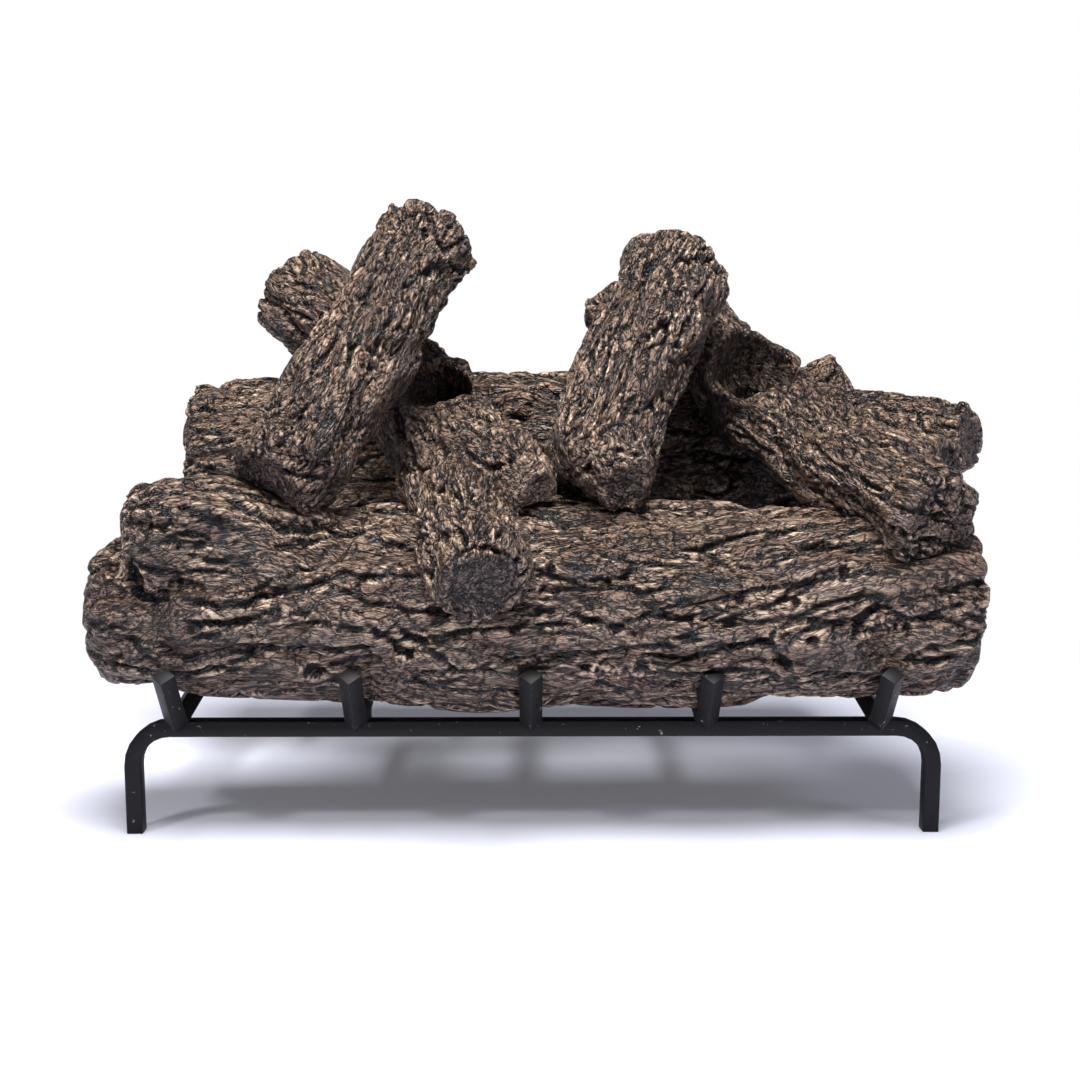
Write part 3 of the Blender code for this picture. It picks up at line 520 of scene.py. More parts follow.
ROPES = {
    "front_log": [
        (2.6, 8, (218, 592), (240, 578), (290, 561), (330, 551), (365, 546)),
        (1.6, 4.5, (148, 617), (190, 614), (240, 614), (262, 606), (315, 600), (350, 598)),
        (1.8, 6, (152, 648), (172, 646), (200, 646), (240, 635), (300, 632), (340, 630)),
        (1.8, 5, (352, 570), (378, 563), (402, 558)),
        (2.2, 6.5, (360, 628), (385, 650), (402, 680)),
        (1.6, 4.5, (385, 602), (410, 628), (440, 655)),
        (1.6, 5.5, (560, 624), (585, 628), (604, 630)),
        (1.8, 8, (622, 632), (650, 632), (685, 634)),
        (1.4, 4.5, (545, 644), (560, 642), (572, 645)),
        (1.4, 4, (532, 592), (540, 582), (548, 580)),
        (1.4, 4.5, (545, 549), (560, 552)),
        (1.4, 4.5, (575, 548), (600, 562), (620, 570)),
        (1.2, 5, (640, 690), (690, 692)),
        (1.4, 5, (700, 636), (730, 634), (755, 633)),
        (1.2, 5, (700, 560), (740, 560), (760, 556))],
    "left_cross_log": [
        (1.6, 4.5, (404, 262), (396, 285), (380, 312)),
        (1.4, 5, (340, 375), (330, 400), (322, 425)),
        (1.6, 6, (262, 430), (285, 424), (310, 430), (322, 450))],
    "left_hollow_log": [
        (1.4, 4, (441, 556), (447, 574), (443, 592)),
        (1.4, 4, (395, 412), (405, 440), (418, 468)),
        (1.2, 4, (400, 395), (412, 412), (440, 418))],
    "middle_cross_log": [
        (1.4, 5, (655, 270), (648, 295), (642, 330)),
        (1.4, 5, (690, 280), (683, 310), (672, 335)),
        (1.4, 5, (620, 340), (612, 375), (598, 410)),
        (1.4, 5, (655, 360), (650, 390), (645, 430))],
    "right_hollow_log": [
        (1.6, 4.5, (732, 412), (760, 435), (790, 456)),
        (1.6, 4.5, (728, 442), (745, 450), (772, 464)),
        (1.4, 5, (862, 452), (890, 455), (905, 465)),
        (1.4, 5, (905, 440), (935, 445), (960, 443)),
        (1.2, 4, (730, 385), (750, 394), (775, 395), (795, 385))],
}
PITS = {
    "front_log": [
        (6, 10, (133, 571)),
        (6, 9, (440, 614)),
        (6, 8, (314, 673)),
        (5, 6, (812, 642)),
        (4, 4, (552, 568)),
        (3, 3.5, (775, 633)),
        (4, 6, (641, 667)),
        (4, 5, (584, 668)),
        (4, 5, (230, 672)),
        (3, 4, (845, 572)),
        (3, 3.5, (797, 602))],
    "left_cross_log": [
        (3.5, 5, (352, 398)),
        (3, 4.5, (370, 368)),
        (3, 4.5, (248, 474)),
        (3, 4, (372, 352)),
        (3, 4.5, (425, 235)),
        (2.5, 4, (290, 492))],
    "left_hollow_log": [
        (3, 4, (428, 468)),
        (4.5, 6, (428, 500)),
        (3, 4, (459, 506)),
        (3, 4, (475, 487)),
        (3, 4, (422, 438)),
        (2.5, 3.5, (500, 535)),
        (2.5, 3.5, (265, 300)),
        (3, 4, (312, 265)),
        (3, 5, (300, 318))],
    "middle_cross_log": [
        (4, 7, (705, 261)),
        (3, 5, (664, 326)),
        (4, 5, (590, 470)),
        (3, 4, (678, 345)),
        (3, 4, (632, 400)),
        (3, 4, (600, 345))],
    "right_hollow_log": [
        (4, 5, (898, 486)),
        (3, 4.5, (885, 495)),
        (3, 4, (905, 533)),
        (3, 4, (720, 425)),
        (3, 4, (915, 430)),
        (3, 4, (840, 440)),
        (3, 4, (775, 430))],
}
RING_KNOTS = {
    "front_log": [
        (17, (880, 632)),
        (9, (612, 672))],
    "right_hollow_log": [
        (6, (934, 478))],
}
solids = {name: BVHTree.FromPolygons([v.co for v in node.data.vertices],
                                     [tuple(p.vertices) for p in node.data.polygons])
          for name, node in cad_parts.items()}
SIGHT_MM = range(800, 1500, 4)


def seen_place(node, pixel):
    """Where the sight line through a pixel meets a CAD log, or passes closest to it, in mm."""
    x, y = pixel
    right, up = x / PHOTO_SIDE - 0.5, 0.5 - y / PHOTO_SIDE
    width = camera.data.sensor_width
    way = camera.rotation_euler.to_matrix() @ Vector((right * width, up * width, -camera.data.lens))
    way.normalize()
    found = solids[node].ray_cast(camera.location, way)[0]
    if found is None:
        spots = [solids[node].find_nearest(camera.location + way * far * MM) for far in SIGHT_MM]
        found = min(spots, key=lambda spot: spot[3])[0]
    return (np.array(found) - np.array(BAR_MIDDLE)) / MM


FEATURE_TABLES = (FURROWS, ROPES, PITS, RING_KNOTS)
print("features", sum(len(rows) for table in FEATURE_TABLES for rows in table.values()))

# %% [markdown]
# Each kind of feature has a function that presses it into the bark. All of them change the same two
# arrays: the height in mm, and the wash and shade, from 0 to 1, which is how much dark wash gathers there
# together with painted shade in the furrows, grooves and pits. A sculptor would work the same way, and add
# the fine bark over it. The lines sway a little, so that none looks ruled.

# %% Press the features into the bark


def away_from_line(points, line):
    """Distance from each point to a line of straight parts, and how far along it, from 0 to 1."""
    best = np.full(len(points), 1e9)
    along = np.zeros(len(points))
    steps = np.linalg.norm(np.diff(line, axis=0), axis=1)
    for index, (start, end) in enumerate(zip(line, line[1:])):
        t = np.clip((points - start) @ (end - start) / steps[index] ** 2, 0, 1)
        apart = np.linalg.norm(points - start - t[:, None] * (end - start), axis=1)
        closer = apart < best
        best[closer] = apart[closer]
        along[closer] = (steps[:index].sum() + t[closer] * steps[index]) / steps.sum()
    return best, along


def close_to(points, line, reach):
    """Which points lie in the box round a line, with some room."""
    inside = (points > line.min(axis=0) - reach) & (points < line.max(axis=0) + reach)
    return np.flatnonzero(inside.all(axis=1))


def bell(distance, width):
    """1 at no distance, falling off softly on both sides."""
    return np.exp(-(distance / width) ** 2)


def mark_wash_and_shade(skin, some, amount):
    """Notes where the dark wash and the painted shade of a groove or pit gather."""
    skin.wash[some] = np.maximum(skin.wash[some], amount)


def press_furrow(skin, depth, half, line):
    """A furrow with a low bank on both sides, which fades out at its ends."""
    depth, half = depth * FURROW_DEEPER, half * FURROW_WIDER
    some = close_to(skin.points, line, half * 4 + 12)
    apart, along = away_from_line(skin.points[some] + 2.2 * skin.sway[some], line)
    fade = np.clip(np.minimum(along, 1 - along) / 0.18 + 0.25, 0, 1)
    rough = skin.rough[some]
    apart /= half * (0.7 + 0.5 * fade)
    skin.height[some] -= depth * fade * rough * np.clip(1.15 - apart, 0, 1.15) ** 1.3
    skin.height[some] += 0.22 * depth * fade * bell(apart - 1.9, 0.6)
    mark_wash_and_shade(skin, some, fade * rough * np.clip(1.3 - apart, 0, 1))


def raise_rope(skin, tall, half, line):
    """A rounded rope of bark with a narrow groove on both sides."""
    tall *= ROPE_TALLER
    some = close_to(skin.points, line, half * 3 + 12)
    apart, along = away_from_line(skin.points[some] + 2.2 * skin.sway[some], line)
    fade = np.clip(np.minimum(along, 1 - along) / 0.22, 0, 1) ** 0.7
    groove = fade * bell(apart - half * 1.12, 1.3)
    skin.height[some] += tall * fade * np.sqrt(np.clip(1 - (apart / half) ** 2, 0, 1))
    skin.height[some] -= 0.55 * tall * groove
    mark_wash_and_shade(skin, some, 0.7 * groove * skin.rough[some])


def sink_pit(skin, depth, radius, place):
    """A round pit with a faint raised rim."""
    depth *= PIT_DEEPER
    some = close_to(skin.points, place, radius * 2 + 8)
    apart = np.linalg.norm(skin.points[some] + 2.6 * skin.sway[some] - place, axis=1) / radius
    skin.height[some] -= 0.85 * depth * np.clip(1.1 - apart ** 2, 0, 1)
    skin.height[some] += 0.06 * depth * bell(apart - 1.3, 0.25)
    mark_wash_and_shade(skin, some, 0.8 * np.clip(1.1 - apart, 0, 1))


def ring_knot(skin, radius, place):
    """A cut-off branch: rings 4.2 mm apart, a groove round them, and bark that swells beside it."""
    some = close_to(skin.points, place, radius * 2 + 8)
    apart = np.linalg.norm(skin.points[some] + 0.8 * skin.sway[some] - place, axis=1)
    disc = np.clip((radius - apart) / 1.5, 0, 1)
    rings = 0.9 * np.cos(apart * 2 * math.pi / 4.2) + 0.9
    groove = skin.rough[some] * bell(apart - radius, 1.3)
    skin.height[some] = skin.height[some] * (1 - disc) + disc * rings
    skin.height[some] += 1.5 * bell(apart - radius * 1.32, radius * 0.16) - 2.4 * groove
    mark_wash_and_shade(skin, some, 0.6 * groove)


def feature_height(points, node, seed):
    """Height in mm of the features listed for a log, and where the dark wash and painted shade gather, from 0
    to 1.
    """
    sway = np.stack([soft_noise(points / 11, seed + k) for k in range(3)], axis=1)
    skin = SimpleNamespace(points=points, sway=sway, rough=0.8 + 0.4 * soft_noise(points / 7, seed + 4),
                           height=np.zeros(len(points)), wash=np.zeros(len(points)))
    for press, table in zip((press_furrow, raise_rope, sink_pit, ring_knot), FEATURE_TABLES):
        for row in table.get(node, []):
            sizes = [part for part in row if not isinstance(part, tuple)]
            line = np.array([seen_place(node, part) for part in row if isinstance(part, tuple)])
            press(skin, *sizes, line)
    return skin.height, skin.wash


trial_line = np.array([(0.0, 0.0, 0.0), (30.0, 0.0, 0.0)])
print("a point 4 mm from a line is", away_from_line(np.array([(9.0, 4.0, 0.0)]), trial_line)[0], "mm off")

# %% [markdown]
# Where a limb was sawn, the cast shows end grain: fine rings round the pith, a few cracks that run out
# from it, and a rim of bark that stands a little proud. Each sawn face is listed by its limb, the end of
# it, and how far the end grain reaches from the pith. Its middle and the way it faces come from the CAD
# log's own flat faces there.

# %% Sawn faces
START, END = 0, -1
SAWN = {
    "front_log": [(0, START, 41), (0, END, 54)],
    "rear_log": [(0, START, 62), (0, END, 54), (1, END, 20)],
    "left_cross_log": [(0, START, 27), (0, END, 31)],
    "left_hollow_log": [(0, END, 26), (2, END, 12.5), (0, START, 34)],
    "middle_cross_log": [(1, END, 16.5), (0, END, 33)],
    "right_hollow_log": [(2, END, 23), (0, START, 25), (3, END, 18)],
}
RING_STEP_MM = 2.6


def sawn_face(node, limb, end):
    """The middle, in mm, and the outward way of the flat CAD faces at one end of a limb."""
    stations = np.array(LIMBS[node][limb], float)
    tip, reach = stations[end, :3], 1.25 * stations[end, 3]
    way = tip - stations[1 if end == START else -2, :3]
    way /= np.linalg.norm(way)
    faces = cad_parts[node].data.polygons
    middles = (np.array([face.center for face in faces]) - np.array(BAR_MIDDLE)) / MM
    normals = np.array([face.normal for face in faces])
    areas = np.array([face.area for face in faces])
    out = (middles - tip) @ way
    from_axis = np.linalg.norm(middles - tip - out[:, None] * way, axis=1)
    flat = (normals @ way > 0.8) & (from_axis < reach) & (np.abs(out) < 25)
    share = areas[flat] / areas[flat].sum()
    normal = share @ normals[flat]
    return share @ middles[flat], normal / np.linalg.norm(normal)


def sawn_share(points, normals, face):
    """How much each point belongs to a sawn face, from 0 to 1, and its distance from the pith."""
    middle, way, radius = face
    offset = points - middle
    out = offset @ way
    from_pith = np.linalg.norm(offset - out[:, None] * way, axis=1)
    ragged = radius + 2.5 * soft_noise(points / 13, 71)
    inside = np.clip((ragged - from_pith) / 5.0, 0, 1)
    facing = np.clip((normals @ way - 0.45) / 0.25, 0, 1)
    near = np.clip(1.5 - np.abs(out) / 12.0, 0, 1)
    return inside * facing * near, from_pith


def end_grain_height(points, from_pith, radius, seed):
    """Height of end grain in mm: rings, cracks from the pith, and a shallow dish."""
    wander = soft_noise(points / 14, seed) * 2.2
    rings = np.sin((from_pith + wander) * 2 * math.pi / RING_STEP_MM)
    cracks = np.clip(1 - np.abs(soft_noise(points / 11, seed + 1)) * 9, 0, 1)
    rough = soft_noise(points / 2.6, seed + 2)
    return 0.28 * rings - 1.1 * cracks + 0.3 * rough - 1.6 * (1 - from_pith / radius)


print("sawn faces", sum(len(faces) for faces in SAWN.values()))

# %% [markdown]
# Two ends are different. The front log's short branch was rounded to a knob, and the left hollow log's
# short branch has lost its bark, so a thin bare sleeve sticks out of it.

# %% Knob and bare sleeve
KNOB_LOG, KNOB_MIDDLE, KNOB_WAY, KNOB_RADIUS = "front_log", (-236, -12, 210), (-0.98, -0.19, 0.08), 36
SLEEVE_LOG, SLEEVE_LIMB, SLEEVE_RADIUS, SLEEVE_LENGTH = "left_hollow_log", 2, 17, 24


def knob_height(points, node, branch):
    """How far the corners outside the knob's ball are worn back, in mm, on the branch alone."""
    if node != KNOB_LOG:
        return np.zeros(len(points))
    offset = points - np.array(KNOB_MIDDLE)
    past = np.linalg.norm(offset, axis=1) - KNOB_RADIUS
    worn = (offset @ np.array(KNOB_WAY) > 0) & (past > 0) & (past < 18)
    return np.where(worn, -0.9 * past, 0) * np.clip(branch * 2 - 1, 0, 1)


def sleeve_share(points, node):
    """How far each point belongs to the sleeve without bark, from 0 to 1."""
    if node != SLEEVE_LOG:
        return np.zeros(len(points))
    middle, way = sawn_face(node, SLEEVE_LIMB, END)
    offset = points - middle
    out = offset @ way
    from_axis = np.linalg.norm(offset - out[:, None] * way, axis=1)
    ragged = out + 2.5 * soft_noise(points / 9, 81)
    return np.clip((SLEEVE_RADIUS + 4 - from_axis) / 3, 0, 1) * np.clip((ragged + SLEEVE_LENGTH) / 4, 0, 1)


print("knob radius", KNOB_RADIUS, "mm, bare sleeve", SLEEVE_LENGTH, "mm long")

# %% [markdown]
# Two logs have burnt-out hollows. Their walls are fluted along the hollow and nearly free of bark. The
# hollows are cut in the CAD part, and each follows one limb, from its last place down to its first. So
# here each needs only that limb's number and its radius.

# %% Hollows
HOLLOWS = {"left_hollow_log": (1, 26), "right_hollow_log": (1, 33)}


def hollow_share(points, node):
    """How far each point is inside the hollow, 0 to 1, its depth in mm, its turn round it, and the lip."""
    limb, radius = HOLLOWS[node]
    bottom, mouth = (np.array(station[:3], float) for station in LIMBS[node][limb])
    way = (bottom - mouth) / np.linalg.norm(bottom - mouth)
    offset = points - mouth
    depth = offset @ way
    across = offset - depth[:, None] * way
    away = np.linalg.norm(across, axis=1)
    share = np.clip((radius + 3 - away) / 3, 0, 1) * np.clip((depth + 9) / 6, 0, 1)
    share *= np.clip((radius * 2.6 - depth) / 8, 0, 1)
    lip = np.exp(-((away - radius - 2.5) / 3.0) ** 2) * np.exp(-((depth + 2) / 8) ** 2)
    return share, depth, across / np.maximum(away, 1e-6)[:, None], lip


print("hollows", len(HOLLOWS))

# %% [markdown]
# A log piece starts as a copy of the CAD log. Its triangles are long and uneven, so the copy is merged
# and rebuilt by a Remesh modifier from small even squares, and smoothed once. That skin is fine enough to
# carve: a square is smaller than the narrowest crease that shows.

# %% A fine skin over a CAD log
SKIN_MM = {"front_log": 2.05, "rear_log": 2.1, "left_cross_log": 1.25, "left_hollow_log": 1.45,
           "middle_cross_log": 1.3, "right_hollow_log": 1.5}
SAME_PLACE = 0.00002


def fine_skin(node):
    """A new object with the CAD log's shape in small even faces."""
    bm = bmesh.new()
    bm.from_mesh(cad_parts[node].data)
    bmesh.ops.remove_doubles(bm, verts=bm.verts, dist=SAME_PLACE)
    mesh = bpy.data.meshes.new(node + "_bark")
    bm.to_mesh(mesh)
    bm.free()
    piece = new_object(node + "_bark", mesh)
    remesh = piece.modifiers.new("skin", "REMESH")
    remesh.mode = "VOXEL"
    remesh.voxel_size = SKIN_MM[node] * MM * 1.0
    smooth = piece.modifiers.new("even out", "SMOOTH")
    smooth.iterations = 8
    graph = bpy.context.evaluated_depsgraph_get()
    skin = bpy.data.meshes.new_from_object(piece.evaluated_get(graph))
    piece.modifiers.clear()
    piece.data = skin
    bpy.data.meshes.remove(mesh)
    skin.name = node + "_bark"
    skin.materials.clear()
    return piece


def read_points(mesh):
    """The mesh's points, in mm from the front bar's middle, and its normals."""
    points = np.empty(len(mesh.vertices) * 3, np.float32)
    mesh.vertices.foreach_get("co", points)
    normals = np.empty(len(mesh.vertices) * 3, np.float32)
    mesh.vertex_normals.foreach_get("vector", normals)
    points = (points.reshape(-1, 3).astype(float) - np.array(BAR_MIDDLE)) / MM
    return points, normals.reshape(-1, 3).astype(float)


def spread_out(mesh, values, rounds):
    """Averages a value over neighbouring points, round after round."""
    edges = np.empty(len(mesh.edges) * 2, np.int64)
    mesh.edges.foreach_get("vertices", edges)
    first, second = edges.reshape(-1, 2).T
    count = len(values)
    degree = np.bincount(first, minlength=count) + np.bincount(second, minlength=count)
    for _ in range(rounds):
        total = np.bincount(first, values[second], count) + np.bincount(second, values[first], count)
        values = (values + total / np.maximum(degree, 1)) / 2
    return values


print("widest skin step", max(SKIN_MM.values()), "mm")

# %% [markdown]
# A log that lies on another has little room there. Where a neighbour is close, the bark may not grow
# outwards by more than part of the gap, so two logs never run into each other. The room is read from the
# CAD solids, within 8 mm.

# %% Room to the neighbours
FAR_MM = 8.0


def room_around(points, node):
    """Distance in mm from each point to the nearest solid of another body, up to FAR_MM."""
    room = np.full(len(points), FAR_MM)
    places = points * MM + np.array(BAR_MIDDLE)
    for other, tree in solids.items():
        if other == node:
            continue
        low, high = (np.array(corner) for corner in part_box(other))
        close = ((places > low - FAR_MM * MM) & (places < high + FAR_MM * MM)).all(axis=1)
        for index in np.flatnonzero(close):
            found = tree.find_nearest(Vector(places[index]), room[index] * MM)
            if found[3] is not None:
                room[index] = min(room[index], found[3] / MM)
    return room


print("room is looked for within", FAR_MM, "mm of", len(solids), "solids")

# %% [markdown]
# Carving puts it all together. Where two limbs meet, the bark of both is mixed, so it flows round the
# fork. End grain and hollow walls take the bark's place where they belong. What the paint needs later is
# kept on the mesh as one colour attribute: how high a point stands over its surroundings, how deep it
# lies, whether it is sawn, and how far inside a hollow it is. The paint makes the height a painted
# highlight, and the depth and the hollow painted shade.

# %% What grows where on a log
CRUMBLY_LOGS = ("left_cross_log", "left_hollow_log", "middle_cross_log", "right_hollow_log")
BLEND_MM = 5.0
LIMB_SEEDS = 31
GRAIN_JUMP_MM = 500


def grown_bark(points, node, seed):
    """The bark's height in mm, each point's place in the grain, and its share of the last limb."""
    kind = CRUMBLY_BARK if node in CRUMBLY_LOGS else OLD_BARK
    limbs = [grain_places(points, limb) for limb in LIMBS[node]]
    off = np.stack([apart for _, apart in limbs])
    weight = np.exp(-(off - off.min(axis=0)) / BLEND_MM)
    weight /= weight.sum(axis=0)
    height = np.zeros(len(points))
    grain = np.zeros((len(points), 3))
    for index, (places, _) in enumerate(limbs):
        part = weight[index] > 0.02
        bent = wandering(places[part], seed + LIMB_SEEDS * index)
        height[part] += weight[index][part] * bark_height(bent, kind, seed + LIMB_SEEDS * index)
        ours = weight[index][part] >= weight[:, part].max(axis=0)
        grain[np.flatnonzero(part)[ours]] = bent[ours] + index * GRAIN_JUMP_MM
    return height, grain, weight[-1]


def with_sawn_faces(height, points, normals, node, seed):
    """The height with end grain on the sawn faces, and how far each point belongs to one of them."""
    sawn = np.zeros(len(points))
    for number, (limb, end, radius) in enumerate(SAWN[node]):
        share, from_pith = sawn_share(points, normals, (*sawn_face(node, limb, end), radius))
        height = height * (1 - share) + share * end_grain_height(points, from_pith, radius, seed + number)
        sawn = np.maximum(sawn, share)
    return height, sawn


def with_hollow(height, points, node, seed):
    """The height with fluted walls and a raised lip at the hollow, and how much painted shade darkens each
    point deeper in the hollow.
    """
    if node not in HOLLOWS:
        return height, np.zeros(len(points))
    share, depth, turn, lip = hollow_share(points, node)
    flutes = fold_noise(turn * 2.6 + (depth / 90)[:, None], seed)
    fluted = 0.9 * flutes + 0.35 * soft_noise(points / 3.0, seed + 1)
    height = height * (1 - share) + share * fluted
    # Painted shade: the deeper a point lies in the hollow, the darker its paint
    return height * (1 - 0.6 * lip) + 1.6 * lip, share * np.clip((depth - 14) / 36, 0, 1)


print("crumbly bark on", len(CRUMBLY_LOGS), "logs")

# %% [markdown]
# The points then move along their normals. Heights and depths bend towards a limit, so nothing sticks out
# like a thorn, and no point leaves the box of its CAD log.

# %% Carve a log
BOX_MARGIN_MM = 0.05
PROUD_MM, DEEP_MM = 2.4, 7.5
TOUCHING_MM, ROOM_SHARE = 0.4, 0.4
NEAR_ROUNDS, WIDE_ROUNDS = 4, 24
RELIEF_MM, DEPTH_MM = 2.1, 6.0


def move_points(mesh, points, normals, height, node):
    """Moves the skin's points along their normals by a limited height, inside the CAD log's box."""
    height = np.minimum(height, (room_around(points, node) - TOUCHING_MM) * ROOM_SHARE)
    height = np.where(height > 0, PROUD_MM * (1 - np.exp(-height / PROUD_MM)), height)
    height = np.where(height < 0, -DEEP_MM * np.tanh(-height / DEEP_MM), height)
    low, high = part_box(node)
    low = np.array(low - BAR_MIDDLE) / MM + BOX_MARGIN_MM
    high = np.array(high - BAR_MIDDLE) / MM - BOX_MARGIN_MM
    moved = np.clip(points + normals * height[:, None], low, high) * MM + np.array(BAR_MIDDLE)
    mesh.vertices.foreach_set("co", moved.astype(np.float32).ravel())
    mesh.update()
    return height


def keep(mesh, name, kind, field, values):
    """Keeps one row of values for each point of a mesh, where a material can read it."""
    layer = mesh.attributes.new(name, kind, "POINT")
    layer.data.foreach_set(field, values.astype(np.float32).ravel())


def carve(piece, node, seed):
    """Carves bark, end grain and fluted hollows into a log's skin, and notes relief and painted shade for the
    paint.
    """
    mesh = piece.data
    points, normals = read_points(mesh)
    height, grain, branch = grown_bark(points, node, seed)
    features, wash = feature_height(points, node, seed + 60)
    worn = knob_height(points, node, branch)
    bare = sleeve_share(points, node)
    height = (height + features + worn) * (1 - 0.9 * bare)
    height, sawn = with_sawn_faces(height, points, normals, node, seed)
    height, deep_hollow_shade = with_hollow(height, points, node, seed + 50)
    height = move_points(mesh, points, normals, height, node) - worn
    # Painted light kept for the paint: relief makes a painted highlight on the crests, and sunk places and
    # the features' grooves make painted shade over the real dark wash
    relief = 0.5 + (height - spread_out(mesh, height, NEAR_ROUNDS)) / RELIEF_MM
    sunk = 0.4 - (height - spread_out(mesh, height, WIDE_ROUNDS)) / DEPTH_MM
    deep = np.maximum(sunk, wash * (1 - sawn)) - 0.3 * bare
    paint_and_shade = [np.clip(relief, 0, 1), np.clip(deep, 0, 1), sawn, deep_hollow_shade]
    keep(mesh, "paint_and_shade", "FLOAT_COLOR", "color", np.stack(paint_and_shade, axis=1))
    keep(mesh, "grain", "FLOAT_VECTOR", "vector", grain)
    mesh.polygons.foreach_set("use_smooth", np.ones(len(mesh.polygons), bool))
    return len(points)


print("bark stands at most", PROUD_MM, "mm proud and", DEEP_MM, "mm deep")

# %% [markdown]
# The casts are refractory cement: cement and crushed fireclay, cast in rubber moulds, then painted by
# hand. The base coat is a black-brown wash that stays in the creases. Lighter browns are brushed over it,
# and a dry brush leaves tan only on the crests. The colour here also holds painted light: crests and
# raised bark are lighter as a painted highlight, and creases, pits, cracks, furrows and sunk places are
# darker as painted shade, over the wash and the dry brush; deep in the hollows the painted shade goes near
# black. The paint has a slight sheen. All sizes are in mm: the grit is that of crushed fireclay, and
# creases, fibres, pits and cracks are longer along the grain.

# %% Painted refractory cement
bark_paint, tree, shader = new_material("hand_painted_refractory_cement", Roughness=0.55)
place = add_node(tree, "ShaderNodeTexCoord").outputs["Object"]
# The mesh's colour attribute: relief for painted highlight over the real dry brush, depth for painted shade
# over the real wash, sawn faces, and painted shade deep in the hollows
paint_and_shade = add_node(tree, "ShaderNodeAttribute", {"attribute_name": "paint_and_shade"})
parts = add_node(tree, "ShaderNodeSeparateColor", links={"Color": paint_and_shade.outputs["Color"]})
relief, deep, sawn = parts.outputs["Red"], parts.outputs["Green"], parts.outputs["Blue"]
deep_hollow_shade = paint_and_shade.outputs["Alpha"]


def along_grain(across, along):
    """Grain places with one noise unit made this many mm wide and long."""
    source = add_node(tree, "ShaderNodeAttribute", {"attribute_name": "grain"})
    return add_node(tree, "ShaderNodeMapping", links={"Vector": source.outputs["Vector"]},
                    values={"Scale": (1 / across, 1 / across, 1 / along)}).outputs[0]


def crease(across, along, detail):
    """Thin creases that run along the grain: 0 in a crease, rising to 1 between two of them."""
    noise = add_node(tree, "ShaderNodeTexNoise", links={"Vector": along_grain(across, along)},
                     values={"Scale": 1.0, "Detail": detail, "Roughness": 0.55,
                             "Distortion": 0.8}).outputs["Fac"]
    apart = maths("MULTIPLY", maths("ABSOLUTE", maths("SUBTRACT", noise, 0.5)), 4.5)
    return maths("POWER", maths("MINIMUM", apart, 1.0), 0.6)


def cells(across, along, feature, output):
    """Voronoi cells in the grain: the distance from their middles or from their edges."""
    return add_node(tree, "ShaderNodeTexVoronoi", {"feature": feature},
                    links={"Vector": along_grain(across, along)}, values={"Scale": 1.0}).outputs[output]


def near_zero(socket, width):
    """1 where a distance is zero, fading to 0 at the given width."""
    return add_node(tree, "ShaderNodeMapRange", links={"Value": socket},
                    values={"From Min": 0.0, "From Max": width, "To Min": 1.0, "To Max": 0.0}).outputs[0]


wrinkles = crease(5.0, 13.0, 2.0)
fibres = crease(2.2, 6.5, 1.0)
pits = near_zero(cells(3.8, 5.2, "F1", "Distance"), 0.32)
cracks = near_zero(cells(7.0, 19.0, "DISTANCE_TO_EDGE", "Distance"), 0.05)
grit = speckle(1.1, 2.0, 0.6)
patches = speckle(42.0, 3.0)

# Fine height: wrinkles and fibres, cut by pits and thin cracks, with a gritty face
fine = blend(0.0, (wrinkles, 0, 0.60), (fibres, 0, 0.30), (grit, 0, 0.25), (pits, 0, -0.45),
             (cracks, 0, -0.25))
# Thin dark lines, painted shade: the same creases, pits and cracks darken the colour, but it is bright again
# soon beside them
beside_wrinkles = maths("MINIMUM", maths("MULTIPLY", wrinkles, 1.7), 1.0)
beside_fibres = maths("MINIMUM", maths("MULTIPLY", fibres, 1.9), 1.0)
lines = blend(0.0, (beside_wrinkles, 0, 0.6), (beside_fibres, 0, 0.4),
              (maths("MAXIMUM", pits, cracks), 0, -0.5))
# Bark brightness: painted highlight on crests and raised fine bark, painted shade in creases, pits, cracks
# and deep places over the real dark wash, and patches of tone that differ at random
lit = blend(0.52, (relief, 0.5, 0.70), (lines, 0.85, 0.62), (fine, 0.6, 0.25), (patches, 0.5, 0.40),
            (deep, 0.4, -0.75))
brushed_and_shaded = ramp(lit, [(0.10, "#020101"), (0.26, "#0f0a07"), (0.37, "#2f221b"), (0.48, "#574439"),
                     (0.62, "#715c4e"), (0.78, "#907965"), (1.0, "#cbb59d")])
cut = ramp(lit, [(0.05, "#060504"), (0.26, "#1e1716"), (0.45, "#413634"), (0.70, "#5f524e"),
                 (1.0, "#8a7c75")])
colour = mix_colours(maths("MULTIPLY", sawn, 0.55), brushed_and_shaded, cut)
# Painted shade deep inside the hollows: the colour goes near black
tree.links.new(mix_colours(deep_hollow_shade, colour, "#070505"), shader.inputs["Base Color"])
fine_bump = add_node(tree, "ShaderNodeBump", links={"Height": fine},
                     values={"Strength": 1.0, "Distance": 0.0028})
tree.links.new(fine_bump.outputs[0], shader.inputs["Normal"])
tree.links.new(blend(0.20, (grit, 0, 0.3)), shader.inputs["Roughness"])
print("bark paint nodes", len(tree.nodes))

# %% [markdown]
# Each log gets its skin, its bark and the paint. It rides on its own CAD body and takes the place of the
# plain CAD log in the picture.

# %% Make the six logs
for seed, node in enumerate(LIMBS):
    log = fine_skin(node)
    count = carve(log, node, 100 + 17 * seed)
    log.data.materials.append(bark_paint)
    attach(log, node)
    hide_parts(node)
    print(node, "points", count)

# %% [markdown]
# The grate is mild steel square bar, 11 mm across, cut, bent and welded, then dipped or sprayed with
# black heat-resistant paint. Rolled bar has edges rounded to about half a millimetre, which catch the
# light as thin lines. So each CAD bar gets a copy whose edges are bevelled. The bevel's faces are marked,
# because that is where the paint chips off. Stove paint is full of matt graphite, so it mirrors less than
# other coats: its specular level and refractive index are low.

